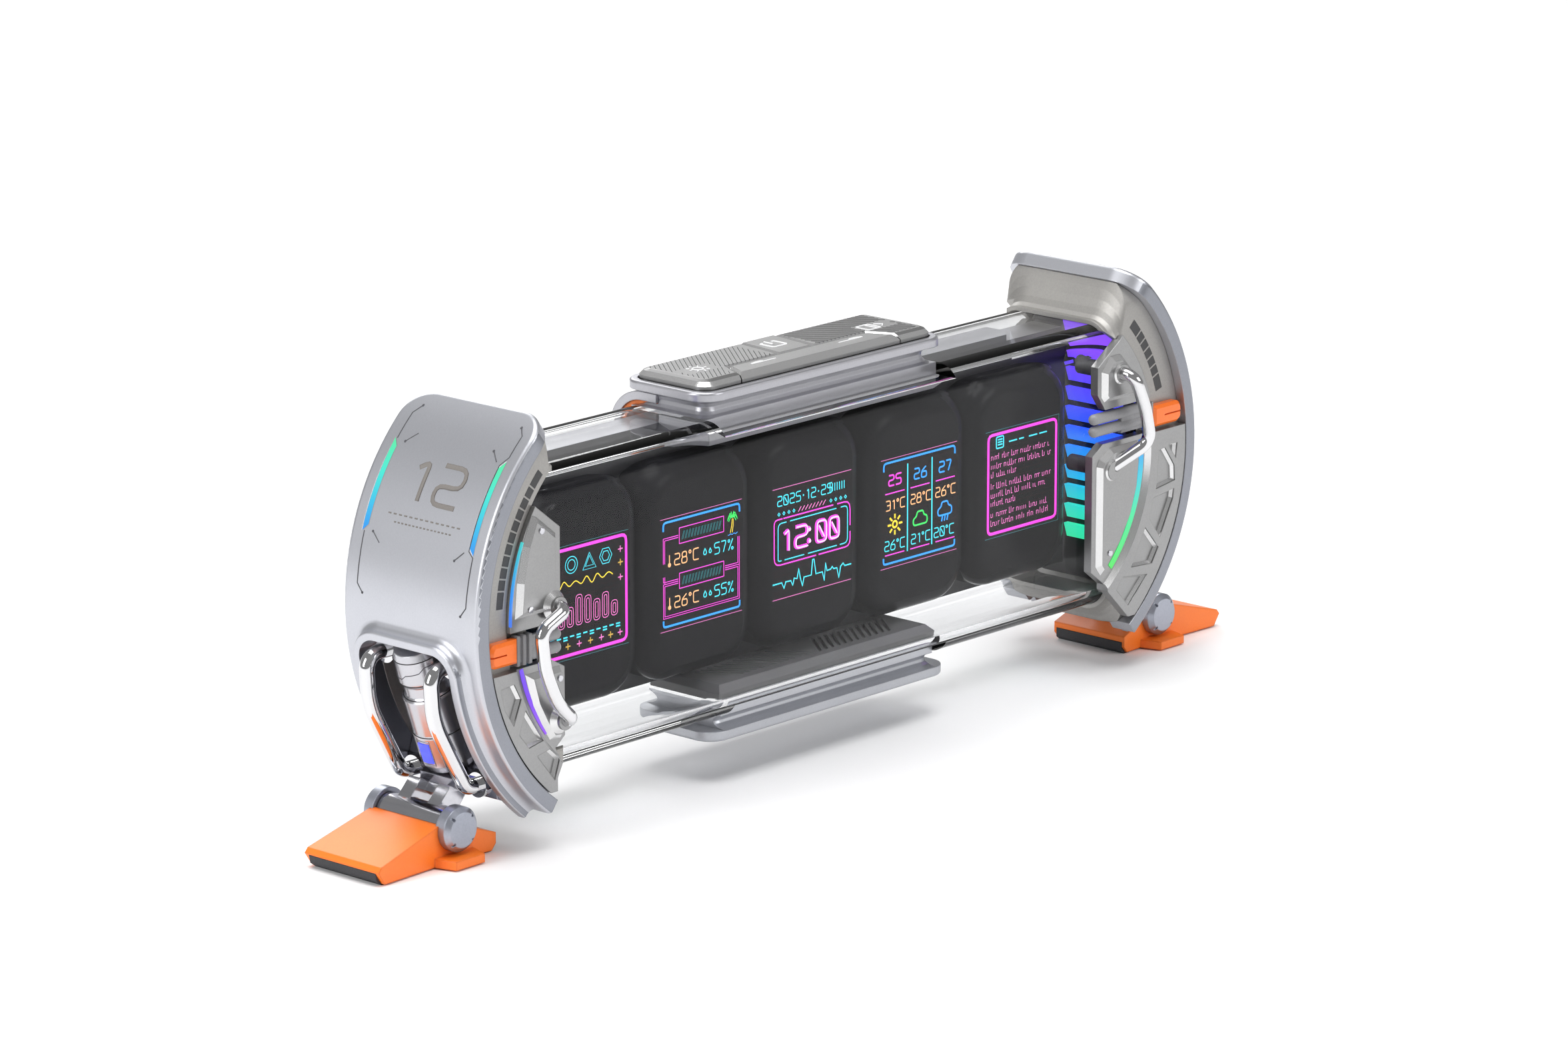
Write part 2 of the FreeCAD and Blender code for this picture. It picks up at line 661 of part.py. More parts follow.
def hinge_cap(sign):
    inner = BARREL_LENGTH / 2.0 + FOOT_GAP / 2.0
    outer = inner + CAP_THICKNESS
    cap = disc_y(CAP_RADIUS, hinge_reach, hinge_z, min(sign * inner, sign * outer), max(sign * inner, sign * outer))
    face_edge = edges_where(cap, lambda e: abs(e.BoundBox.YMax - sign * outer) < 0.01 and e.BoundBox.YLength < 0.01)
    cap = cap.makeChamfer(0.9, face_edge)
    notch_reach = CAP_RADIUS - 1.2
    for turn in range(4):
        notch = box(notch_reach, CAP_RADIUS, sign * outer - 0.5, sign * outer + 0.5, -0.22, 0.22)
        notch.rotate(ORIGIN, Y, 45 + 90 * turn)
        notch.translate(point(hinge_reach, 0, hinge_z))
        cap = cap.cut(notch)
    return cap.cut(hinge_pin())


def foot():
    low = FOOT_PAD_STAND
    inner = hinge_reach - FOOT_IN
    outer = hinge_reach + FOOT_OUT
    profile = [(inner + 1.0, low), (inner, low + 1.2), (inner, FOOT_TIP_HEIGHT), (hinge_reach - 4.1, hinge_z - 0.8),
               (hinge_reach, hinge_z - 1.0), (hinge_reach + 3.2, hinge_z + 1.3), (outer, FOOT_TIP_HEIGHT),
               (outer + 0.7, FOOT_TIP_HEIGHT - 0.9), (outer - 0.8, low)]
    body = slab_xz(profile, -FOOT_HALF_WIDTH, FOOT_HALF_WIDTH)
    narrow = 0.9
    for sign in (1, -1):
        side = [(inner - 1, sign * (FOOT_HALF_WIDTH + 1)), (inner - 1, sign * (FOOT_HALF_WIDTH - narrow * 0.4)),
                (hinge_reach, sign * (FOOT_HALF_WIDTH - narrow)), (outer + 2, sign * FOOT_HALF_WIDTH),
                (outer + 2, sign * (FOOT_HALF_WIDTH + 1))]
        body = body.cut(slab_xy(side, -1, 2 * hinge_z))
    reach = FOOT_HALF_WIDTH + FOOT_FLANGE
    flange = [(hinge_reach - 7.2, 0), (hinge_reach - 3.2, -reach), (hinge_reach + 3.8, -reach),
              (hinge_reach + 7.6, 0), (hinge_reach + 3.8, reach), (hinge_reach - 3.2, reach)]
    body = fuse_all([body, slab_xy(flange, low, low + FOOT_FLANGE_HEIGHT)])
    half = BARREL_LENGTH / 2.0 + FOOT_GAP / 2.0
    running = disc_y(BARREL_RADIUS + FOOT_GAP, hinge_reach, hinge_z, -half, half)
    seats = disc_y(CAP_RADIUS, hinge_reach, hinge_z, -reach - 1, reach + 1)
    middle = box(-END_LENGTH, 3 * END_LENGTH, -half, half, -1, 3 * hinge_z)
    body = body.cut(seats.cut(middle)).cut(running)
    throat = box(inner - 1, hinge_reach, -half, half, hinge_z - 1.6, 3 * hinge_z)
    return cut_all(body.cut(throat), foot_pad_blanks())


def foot_pad_blanks():
    half = FOOT_HALF_WIDTH - 1.0
    inner = hinge_reach - FOOT_IN
    outer = hinge_reach + FOOT_OUT
    height = FOOT_TIP_HEIGHT - 1.1
    return [
        slab_xz([(inner - 0.05, 0.6), (inner + 0.7, 0), (inner + FOOT_PAD, 0), (inner + FOOT_PAD, height),
                 (inner - 0.05, height)], -half, half),
        slab_xz([(outer - FOOT_PAD, 0), (outer - 0.9, 0), (outer + 0.3, 0.9), (outer + 0.6, height),
                 (outer - FOOT_PAD, height)], -half, half),
    ]


# cheeks: each end has a front and a back pair of castings with a handle, vents and light strips
# Places are (x out from the tube mouth, z above the screens' centre), as on the face.
CHEEKS = {
    "high": {
        "split_low": 6.0, "split_high": 12.6,
        "upper": [(1.6, 25.6), (-4.9, 21.2), (-4.9, 15.8), (-2.6, 12.6)],
        "window": 32.3, "upper_reach": 33.4,
        "upper_pad": [(1.6, 22.9), (-1.3, 22.9), (-3.9, 20.2), (-3.9, 15.2), (-3.0, 14.2), (7.4, 14.2), (5.4, 19.0)],
        "lower": [(-3.2, 6.0), (-6.3, 3.9), (-6.3, -18.9), (-2.4, -21.9), (-2.4, -23.2), (5.0, -30.6)],
        "lower_pad": [(-1.4, 4.9), (-4.3, 3.2), (-5.1, 1.8), (-5.1, -18.0), (-3.6, -19.9), (-1.6, -18.3), (1.7, -14.6),
                      (4.9, -9.5), (6.8, -4.0), (7.4, 1.0), (7.1, 4.9)],
        "ridge": 30.2,
        "pockets": [[(12.7, 2.2), (14.6, 2.3), (17.5, -1.7), (17.7, -4.7), (11.9, -5.5)],
                    [(15.4, 2.7), (18.3, 2.7), (17.9, -0.4)],
                    [(11.1, -7.1), (17.5, -6.3), (17.2, -8.2), (13.3, -15.3), (9.9, -10.9)],
                    [(8.8, -12.5), (12.9, -17.2), (10.95, -20.1), (4.6, -19.7)],
                    [(2.2, -21.1), (9.6, -22.0), (3.9, -27.2), (0.2, -23.4)]],
        "bar": [(0.9, 19.4), (1.0, 19.3), (4.3, 12.5), (6.0, 5.6), (-1.4, 0.7)],
        "bar_bends": [2.2, 14.0, 3.2], "boss": (0.3, 0.5),
        "vents": (36.2, 38.1, 17.5, 43.5), "vent_count": 7,
        "lights": [(28.5, 29.8, -46.5, 5.0)],
        "screws": [(-1.9, -15.6)],
        "tab": (11.2, 19.6, 6.8, 11.0), "ribs": (8.6, 11.2), "prongs": (-6.2, 3.3, 8.6, 11.0),
    },
    "low": {
        "split_low": -5.5, "split_high": 1.2,
        "upper": [(8.6, 23.2), (2.2, 18.2), (2.2, 1.2)],
        "window": 35.6, "upper_reach": 35.55,
        "upper_pad": [(9.3, 21.4), (8.0, 20.9), (3.4, 17.2), (3.4, 3.6), (13.6, 3.6), (13.0, 10.0), (11.5, 16.4)],
        "lower": [(4.5, -5.5), (1.3, -7.3), (1.3, -19.9), (3.7, -21.8), (2.6, -23.9), (4.2, -27.0), (4.2, -30.0)],
        "lower_pad": [(11.2, -6.9), (2.6, -6.9), (2.0, -8.0), (2.0, -19.2), (2.6, -20.2), (5.2, -20.0), (7.4, -16.6),
                      (9.4, -12.9)],
        "ridge": 35.0,
        "pockets": [[(18.2, -8.0), (14.8, -7.7), (13.1, -10.7), (15.05, -15.3), (17.3, -11.8)],
                    [(12.1, -12.9), (7.6, -19.4), (11.3, -20.1), (13.7, -17.2)],
                    [(9.4, -21.9), (6.0, -21.3), (3.6, -23.5), (4.9, -27.3)]],
        "bar": [(4.8, 4.6), (4.9, 4.5), (11.4, 1.7), (10.4, -5.6), (7.4, -12.2), (3.3, -16.0), (3.4, -16.3)],
        "bar_bends": [1.9, 2.6, 14.0, 12.0, 1.9], "boss": (0.9, 1.5),
        "vents": (36.6, 38.2, 5.2, 44.3), "vent_count": 11,
        "lights": [(35.25, 35.55, 0.0, 24.5), (33.6, 34.4, -38.0, -13.8)],
        "screws": [(7.7, 18.6), (10.6, 4.9), (3.4, -8.9)],
        "tab": (13.6, 20.4, -4.2, 0.2), "ribs": (9.9, 13.6), "prongs": (1.8, 7.9, -3.6, -1.2),
    },
}
SPLIT_MARGIN = 0.6


def cheek_kind(face):
    """The right end's front face and, turned round, the left end's back face are the high kind."""
    return CHEEKS["high"] if face == -1 else CHEEKS["low"]


def absolute(points):
    return [(x, DISPLAY_Z + z) for x, z in points]


def face_slab(outline, depth_low, depth_high, face):
    low, high = sorted((face * depth_low, face * depth_high))
    return slab_xz(outline, low, high)


def face_band(r_low, r_high, a_low, a_high, depth_low, depth_high, face):
    low, high = sorted((face * depth_low, face * depth_high))
    return band(r_low, r_high, a_low, a_high, low, high)


def cheek_limit(face):
    """Everything inside the plate's inner curve, between the collar's top and bottom."""
    reach = plate_inner - CHEEK_GAP
    disc = disc_y(reach, curve_x, curve_z, -PLATE_DEPTH, PLATE_DEPTH)
    low, high = sorted((0, face * PLATE_DEPTH))
    low_z = on_curve(reach, -bottom_angle + 3.0)[1]
    return disc.common(box(-SCREEN_PITCH, END_LENGTH, low, high, low_z, plate_top))


def lug_slab(outline, face):
    """A slab on the collar's face that steps back to the tube inside the arched window."""
    over_collar = face_slab(absolute(outline), collar_face, cheek_face, face)
    in_window = face_slab(absolute(outline), tube_front + FIT_GAP, cheek_face, face)
    return over_collar.fuse(in_window.common(window_disc(face, FIT_GAP, tube_front))).removeSplitter()


def cheek(face, upper, with_socket=False):
    kind = cheek_kind(face)
    far = 2 * END_LENGTH
    if upper:
        outline = kind["upper"] + [(far, kind["split_high"]), (far, kind["upper"][0][1] + far)]
        reach = disc_y(kind["upper_reach"], curve_x, curve_z, -PLATE_DEPTH, PLATE_DEPTH)
        body = lug_slab(outline, face).common(reach)
    else:
        outline = [(far, kind["split_low"])] + kind["lower"] + [(far, plate_bottom - DISPLAY_Z)]
        body = lug_slab(outline, face).common(cheek_limit(face))
        body = body.fuse(ridge(outline, face))
    raised = face_slab(absolute(kind["upper_pad" if upper else "lower_pad"]), cheek_face - FIT_GAP, pad_face, face)
    raised = raised.makeChamfer(PAD_BEVEL, face_edges(raised, pad_face))
    body = fuse_all([body, raised] + bar_boss(face, upper))
    frames = [] if upper else pockets(face)
    tools = cheek_lights(face) + frames + [handle(face)] + ([socket_hole()] if with_socket else [])
    return cut_all(body, tools)


def face_edges(shape, depth):
    """The edges of a piece that lie in the plane at that depth."""
    return edges_where(shape, lambda e: abs(abs(e.BoundBox.YMax) - depth) < 0.01
                       and abs(abs(e.BoundBox.YMin) - depth) < 0.01)


def ridge(outline, face):
    """The raised outer band of a lower cheek, with a bevelled inner side."""
    inner = cheek_kind(face)["ridge"]
    start = cheek_face - FIT_GAP
    rise = pad_face + 1 - start
    hollow = Part.makeCone(inner, inner + rise * RIDGE_SLOPE, rise, point(curve_x, face * start, curve_z), Y * face)
    slab = face_slab(absolute(outline), start, pad_face, face)
    return slab.common(cheek_limit(face)).cut(hollow)


def bar_boss(face, upper):
    """The flared collar that a handle's end is set into."""
    x, z = cheek_kind(face)["bar"][0 if upper else -1]
    flare, stand = cheek_kind(face)["boss"]
    radius = CHEEK_BAR / 2.0 + CHEEK_BOSS_MARGIN
    cone = Part.makeCone(radius + flare, radius, flare, point(x, face * pad_face, DISPLAY_Z + z), Y * face)
    low, high = sorted((face * (cheek_face - FIT_GAP), face * (pad_face + stand)))
    return [cone, disc_y(radius, x, DISPLAY_Z + z, low, high)]


def pockets(face):
    """Shallow pockets with sloping sides along the raised band of a lower cheek."""
    tools = []
    for outline in cheek_kind(face)["pockets"]:
        tool = face_slab(absolute(outline), pad_face - POCKET_DEPTH, pad_face + 1, face)
        tools.append(tool.makeChamfer(POCKET_SLOPE, face_edges(tool, pad_face - POCKET_DEPTH)))
    return tools


def cheek_lights(face):
    return [face_band(r0, r1, a0, a1, cheek_face - LIGHT_DEPTH, cheek_face + LIGHT_STAND, face)
            for r0, r1, a0, a1 in cheek_kind(face)["lights"]]


def vent_bars(face):
    """Dark bars let into the casting's face beside the plate."""
    r0, r1, a0, a1 = cheek_kind(face)["vents"]
    count = cheek_kind(face)["vent_count"]
    gap = math.degrees(VENT_GAP / r1)
    step = (a1 - a0 - gap * (count - 1)) / (count - 2 + 2 * VENT_END)
    bars = []
    start = a0
    for number in range(count):
        length = step * (VENT_END if number in (0, count - 1) else 1.0)
        bars.append(face_band(r0, r1, start, start + length, collar_face - CHEEK_THICKNESS / 2.0, collar_face, face))
        start += length + gap
    return bars


def handle(face):
    kind = cheek_kind(face)
    plan = kind["bar"]
    stand = cheek_face + CHEEK_BAR_STAND
    depths = [cheek_face] + [stand] * (len(plan) - 2) + [cheek_face]
    places = [(x, face * depth, DISPLAY_Z + z) for (x, z), depth in zip(plan, depths)]
    return bent_bar(places, kind["bar_bends"], CHEEK_BAR)


def standoffs(face):
    """Dark sleeves inside the tube, on the bolts that hold the handle."""
    low, high = sorted((face * (tube_front - TUBE_WALL), face * (tube_front - TUBE_WALL - 6.0)))
    return [disc_y(STANDOFF_RADIUS, x, DISPLAY_Z + z, low, high) for x, z in (cheek_kind(face)["bar"][0], cheek_kind(face)["bar"][-1])]


def release_tab(face):
    x0, x1, z0, z1 = cheek_kind(face)["tab"]
    tab = box(x0, x1, *sorted((face * collar_face, face * pad_face)), DISPLAY_Z + z0, DISPLAY_Z + z1)
    outer = edges_where(tab, lambda e: e.BoundBox.YLength > PAD_HEIGHT and e.CenterOfMass.x > (x0 + x1) / 2.0)
    tab = tab.makeFillet(TAB_CORNER, outer)
    tab = tab.makeChamfer(TAB_BEVEL, face_edges(tab, pad_face))
    low, high = sorted((face * (pad_face - TAB_BEVEL), face * PLATE_DEPTH))
    slot = box(x0 + TAB_CORNER * 2, x1, low, high, DISPLAY_Z + (z0 + z1) / 2.0 - TAB_LINE / 2.0,
               DISPLAY_Z + (z0 + z1) / 2.0 + TAB_LINE / 2.0)
    return tab.cut(slot).common(cheek_limit(face))


def ribbed_connector(face):
    """The grey plug between the cheeks: a ribbed sleeve, a neck and two round prongs."""
    kind = cheek_kind(face)
    x0, x1 = kind["ribs"]
    p0, p1, low_z, high_z = kind["prongs"]
    middle = (kind["split_high"] + kind["split_low"]) / 2.0
    half = (kind["split_high"] - kind["split_low"]) / 2.0 - SPLIT_MARGIN
    pieces = []
    rib = (x1 - x0) / 5.0
    for number in range(5):
        grow = 0.0 if number % 2 else 0.45
        start = x0 + rib * number
        pieces.append(face_slab(absolute([(start, middle - half + 0.5 - grow), (start, middle + half - 0.5 + grow),
                                          (start + rib, middle + half - 0.5 + grow),
                                          (start + rib, middle - half + 0.5 - grow)]),
                                collar_face, cheek_face + 0.1 + grow, face))
    pieces.append(face_slab(absolute([(p1 - 1, middle - half + 0.6), (p1 - 1, middle + half - 0.6),
                                      (x0, middle + half - 0.6), (x0, middle - half + 0.6)]),
                            collar_face, cheek_face, face))
    radius = (high_z - low_z) / 2.0 - 0.12
    depth = face * (tube_front + FIT_GAP + radius)
    for z in (low_z, high_z):
        prong = Part.makeCylinder(radius, x0 - p0 - radius, point(p0 + radius, depth, DISPLAY_Z + z), X)
        nose = Part.makeSphere(radius, point(p0 + radius, depth, DISPLAY_Z + z))
        pieces.append(prong.fuse(nose))
    return cut_all(fuse_all(pieces), [collar(), release_tab(face), cheek(face, True), cheek(face, False)])


def socket_place():
    """On the lower cheek's raised band, just inside its outer edge."""
    angle = math.radians(SOCKET_ANGLE)
    corner = SOCKET_WIDTH / 2.0 * math.cos(angle) + SOCKET_LENGTH / 2.0 * math.sin(angle)
    return on_curve(plate_inner - CHEEK_GAP - SOCKET_MARGIN - corner, -SOCKET_ANGLE)


def socket_hole():
    x, z = socket_place()
    return box(x - SOCKET_WIDTH / 2.0, x + SOCKET_WIDTH / 2.0, collar_face + 1 - SOCKET_DEPTH, PLATE_DEPTH,
               z - SOCKET_LENGTH / 2.0, z + SOCKET_LENGTH / 2.0)


def power_socket():
    x, z = socket_place()
    half_x = SOCKET_WIDTH / 2.0
    half_z = SOCKET_LENGTH / 2.0
    back = collar_face + 1 - SOCKET_DEPTH
    shell = box(x - half_x, x + half_x, back, cheek_face, z - half_z, z + half_z)
    hollow = box(x - half_x + SOCKET_WALL, x + half_x - SOCKET_WALL, back + 1.0, PLATE_DEPTH,
                 z - half_z + SOCKET_WALL, z + half_z - SOCKET_WALL)
    tongue = box(x - 0.35, x + 0.35, back + 0.5, cheek_face - 1.0, z - half_z + 1.2, z + half_z - 1.2)
    return shell.cut(hollow).fuse(tongue)


# light walls: a board across each end of the tube with a ladder of light bars on it
def light_wall():
    half_y = bore_depth / 2.0 - FIT_GAP
    half_z = bore_height / 2.0 - FIT_GAP
    out = tube_seat
    board = rounded_tunnel(2 * half_y, 2 * half_z, TUBE_CORNER - TUBE_WALL, out - BOARD_THICKNESS, out, tube_z)
    return board


def wall_lights():
    half_y = bore_depth / 2.0 - FIT_GAP
    x1 = tube_seat - BOARD_THICKNESS
    x0 = x1 - BOARD_THICKNESS
    lights = []
    for number in range(WALL_LIGHTS):
        z = DISPLAY_Z + (number - (WALL_LIGHTS - 1) / 2.0) * WALL_LIGHT_PITCH + 3.9
        z_low = z - WALL_LIGHT_HEIGHT / 2.0
        z_high = z + WALL_LIGHT_HEIGHT / 2.0
        outline = [(-half_y + 0.8, z_low), (BEAM_Y - 0.9, z_low), (BEAM_Y - 0.1, z_high), (-half_y + 0.8, z_high)]
        lights.append(slab_yz(outline, x0, x1))
    return lights


# control unit: tray and neck in one casting, four keys on a switch board, and an inner clamp plate
def tray_top():
    return tube_top + NECK_HEIGHT + TRAY_RIM


def neck_front():
    return TRAY_DEPTH / 2.0 - NECK_INSET


def neck_back():
    return TOP_Y + neck_front()


def base_front():
    return BASE_DEPTH / 2.0 - 1.2


def waisted(half_x, half_y, radius, waist, z_low, z_high, grow_low, grow_high, y_centre):
    """A neck whose sides curve in between two flared ends."""
    wires = []
    for share, bend in ((0.0, 0.0), (0.12, 0.55), (0.3, 0.88), (0.5, 1.0), (0.7, 0.88), (0.88, 0.55), (1.0, 0.0)):
        flare = grow_low + (grow_high - grow_low) * share
        extra = flare * (1.0 - bend) - waist * bend
        wire = rounded_outline(half_x + extra, half_y + extra, radius + extra * 0.5)
        wire.translate(point(0, y_centre, z_low + share * (z_high - z_low)))
        wires.append(wire)
    return Part.makeLoft(wires, True, True)


def top_housing():
    half_x = top_neck_half()
    half_y = neck_front()
    rim_low = tube_top + NECK_HEIGHT
    plug = box(-half_x, half_x, TOP_Y - half_y, TOP_Y + half_y, tube_top - TUBE_WALL, tube_top)
    neck = waisted(half_x, half_y, TRAY_CORNER - NECK_INSET, NECK_WAIST, tube_top, rim_low, 0.0, 0.4, TOP_Y)
    tray = rounded_plate(TRAY_LENGTH / 2.0, TRAY_DEPTH / 2.0, TRAY_CORNER, rim_low, tray_top(), TOP_Y)
    rim = edges_where(tray, lambda e: abs(e.BoundBox.ZMin - tray_top()) < 0.01)
    tray = tray.makeFillet(TRAY_RIM * 0.3, rim)
    well = rounded_plate(TRAY_LENGTH / 2.0 - TRAY_WALL, TRAY_DEPTH / 2.0 - TRAY_WALL, TRAY_CORNER - TRAY_WALL,
                         tray_top() - KEY_WELL, tray_top() + 1, TOP_Y)
    hole = Part.makeCylinder(0.35, 2.0, point(0, TOP_Y - half_y - 1, tube_top + NECK_HEIGHT / 2.0), Y)
    stub = box(-SCREEN_PITCH / 2.0, SCREEN_PITCH / 2.0, BEAM_Y + 1, flat_half - FIT_GAP,
               beam_top(), tube_top - TUBE_WALL)
    body = fuse_all([plug, neck, tray, stub])
    return body.cut(well).cut(hole)


def clamp_plate(half_x, y_low, y_high, z_face, z_way):
    """A flat plate with a bevelled edge that clamps the tube's wall from inside."""
    z_step = z_face + z_way * PLATE_STEP
    z_tip = z_step + z_way * PLATE_BEVEL
    body = box(-half_x, half_x, y_low, y_high, min(z_face, z_tip), max(z_face, z_tip))
    rim = edges_where(body, lambda e: abs(e.BoundBox.ZMin - z_tip) < 0.01 and abs(e.BoundBox.ZMax - z_tip) < 0.01)
    return body.makeChamfer(PLATE_BEVEL, rim)


def top_clamp():
    return clamp_plate(top_neck_half() + INNER_MARGIN, TOP_Y - neck_front() - INNER_MARGIN, BEAM_Y - FIT_GAP,
                       tube_top - TUBE_WALL, -1)


def base_clamp():
    half = base_front()
    plate = clamp_plate(base_neck_half() + INNER_MARGIN, -flat_half + FIT_GAP, flat_half - FIT_GAP,
                        tube_bottom + TUBE_WALL, 1)
    grooves = []
    count = 12
    for sign in (1, -1):
        for number in range(count):
            start = sign * (5.0 + number * 1.75)
            groove = box(start, start + 0.7, -half, BEAM_Y - 1.0, tube_bottom + TUBE_WALL + PLATE_STEP + PLATE_BEVEL - 0.5,
                         tube_bottom + TUBE_WALL + PLATE_STEP + PLATE_BEVEL + 1)
            groove.rotate(point(start, 0, 0), Z, -sign * 38)
            grooves.append(groove)
    window = box(-base_neck_half() + 3, base_neck_half() - 3, -half + 4.0, BEAM_Y - 1.0, 0, plate_top)
    for groove in grooves:
        plate = plate.cut(groove.common(window))
    return plate


def key_outlines():
    """Plan outlines of the four keys round the tray's centre, with equal gaps between them."""
    gap = KEY_GAP / 2.0
    half_x = TRAY_LENGTH / 2.0 - TRAY_WALL - KEY_GAP
    half_y = TRAY_DEPTH / 2.0 - TRAY_WALL - KEY_GAP
    front = -half_y
    split = front + ROCKER_DEPTH
    slant = ROCKER_SLANT
    left = POWER_OFFSET - POWER_HALF
    right = POWER_OFFSET + POWER_HALF
    light = [(-half_x, front), (-ROCKER_HALF - slant - gap, front), (-ROCKER_HALF - gap, split + gap),
             (left - gap, split + gap), (left + POWER_SLANT - gap, half_y), (-half_x, half_y)]
    power = [(left + gap, split + gap), (right - gap, split + gap), (right + POWER_SLANT - gap, half_y),
             (left + POWER_SLANT + gap, half_y)]
    mode = [(right + gap, split + gap), (ROCKER_HALF + gap, split + gap), (ROCKER_HALF + slant + gap, front),
            (half_x, front), (half_x, half_y), (right + POWER_SLANT + gap, half_y)]
    rocker = [(-ROCKER_HALF - slant + gap, front), (ROCKER_HALF + slant - gap, front), (ROCKER_HALF - gap, split - gap),
              (-ROCKER_HALF + gap, split - gap)]
    return {"light_key": light, "power_key": power, "mode_key": mode, "rocker_key": rocker}


def key_floor():
    return tray_top() - KEY_WELL


def key_bottom():
    return key_floor() + BOARD_THICKNESS / 2.0 + KEY_TRAVEL + 0.1


def key(name):
    outline = [(x, TOP_Y + y) for x, y in key_outlines()[name]]
    top = tray_top() + KEY_STAND
    body = slab_xy(outline, key_bottom(), top)
    corners = edges_where(body, lambda e: e.BoundBox.ZLength > KEY_CHAMFER
                          and abs(e.CenterOfMass.x) > TRAY_LENGTH / 2.0 - TRAY_WALL - 2 * KEY_GAP)
    if corners:
        body = body.makeFillet(TRAY_CORNER - TRAY_WALL - KEY_GAP, corners)
    rim = edges_where(body, lambda e: abs(e.BoundBox.ZMin - top) < 0.01 and (
        abs(e.CenterOfMass.x) > ROCKER_HALF + ROCKER_SLANT or abs(e.CenterOfMass.y - TOP_Y) > TRAY_DEPTH / 2.0 - TRAY_WALL - 1))
    body = body.makeChamfer(KEY_CHAMFER, rim)
    inner = edges_where(body, lambda e: abs(e.BoundBox.ZMin - top) < 0.01 and (
        abs(e.CenterOfMass.y - TOP_Y) < TRAY_DEPTH / 2.0 - TRAY_WALL - KEY_CHAMFER - 2 * KEY_GAP
        and abs(e.CenterOfMass.x) < TRAY_LENGTH / 2.0 - TRAY_WALL - KEY_CHAMFER - 2 * KEY_GAP))
    body = body.makeChamfer(KEY_BEVEL, inner)
    if name == "rocker_key":
        pivot = disc_y(KEY_TRAVEL, 0, key_bottom(), TOP_Y - TRAY_DEPTH / 2.0 + TRAY_WALL + 1.0,
                       TOP_Y - TRAY_DEPTH / 2.0 + TRAY_WALL + ROCKER_DEPTH - 1.0)
        body = body.fuse(pivot).removeSplitter()
    return body


def key_board():
    half_x = TRAY_LENGTH / 2.0 - TRAY_WALL - KEY_GAP
    half_y = TRAY_DEPTH / 2.0 - TRAY_WALL - KEY_GAP
    return rounded_plate(half_x, half_y, TRAY_CORNER - TRAY_WALL - KEY_GAP, key_floor(),
                         key_floor() + BOARD_THICKNESS / 2.0, TOP_Y)


def rear_clip_section(offset, thickness, drop):
    """A strip that follows the tube's top back corner outside it."""
    r_in = TUBE_CORNER + offset
    r_out = r_in + thickness
    cy = tube_front - TUBE_CORNER
    cz = tube_top - TUBE_CORNER
    half = math.sqrt(0.5)
    start = neck_back() - 2 * CLIP_THICKNESS - TUBE_WALL

    def arc(radius, ends):
        places = [(cy, cz + radius), (cy + radius * half, cz + radius * half), (cy + radius, cz)]
        places = places if ends else places[::-1]
        return Part.Arc(*[point(0, y, z) for y, z in places]).toShape()

    def line(a, b):
        return Part.LineSegment(point(0, *a), point(0, *b)).toShape()

    edges = [arc(r_out, True), line((cy + r_out, cz), (cy + r_out, cz - drop)),
             line((cy + r_out, cz - drop), (cy + r_in, cz - drop)), line((cy + r_in, cz - drop), (cy + r_in, cz)),
             arc(r_in, False), line((cy, cz + r_in), (start, cz + r_in)),
             line((start, cz + r_in), (start, cz + r_out)), line((start, cz + r_out), (cy, cz + r_out))]
    return Part.Face(Part.Wire(edges))


def along_unit(face, half):
    face.translate(point(-half, 0, 0))
    return face.extrude(point(2 * half, 0, 0))


def rear_clip():
    clip = along_unit(rear_clip_section(CLIP_PAD, CLIP_THICKNESS, CLIP_DROP - TUBE_CORNER), top_neck_half() - 0.5)
    return clip.cut(top_housing())


def clip_pad():
    pad = along_unit(rear_clip_section(FIT_GAP, CLIP_PAD - FIT_GAP, CLIP_DROP - TUBE_CORNER), top_neck_half() - 1.0)
    return pad.cut(top_housing())


def base_housing():
    half_x = base_neck_half()
    half_y = base_front()
    low = tube_bottom - BASE_NECK
    plug = box(-half_x, half_x, -half_y, half_y, tube_bottom - 0.4, tube_bottom + TUBE_WALL)
    neck = waisted(BASE_LENGTH / 2.0 - 1.2, half_y, BASE_CORNER - 1.0, 1.6, low, tube_bottom - 0.4,
                   0.8, 0.0, 0.0)
    flange = rounded_plate(BASE_LENGTH / 2.0, BASE_DEPTH / 2.0, BASE_CORNER, low - BASE_THICKNESS, low)
    lower = edges_where(flange, lambda e: abs(e.BoundBox.ZMax - low + BASE_THICKNESS) < 0.01)
    flange = flange.makeFillet(BASE_THICKNESS * 0.3, lower)
    limit = box(-half_x, half_x, -BASE_DEPTH, BASE_DEPTH, low, tube_bottom)
    return fuse_all([plug, neck.common(limit), flange])


def cheek_screws(face):
    low, high = sorted((face * pad_face, face * (pad_face + 0.2)))
    return [disc_y(0.6, x, DISPLAY_Z + z, low, high) for x, z in cheek_kind(face)["screws"]]


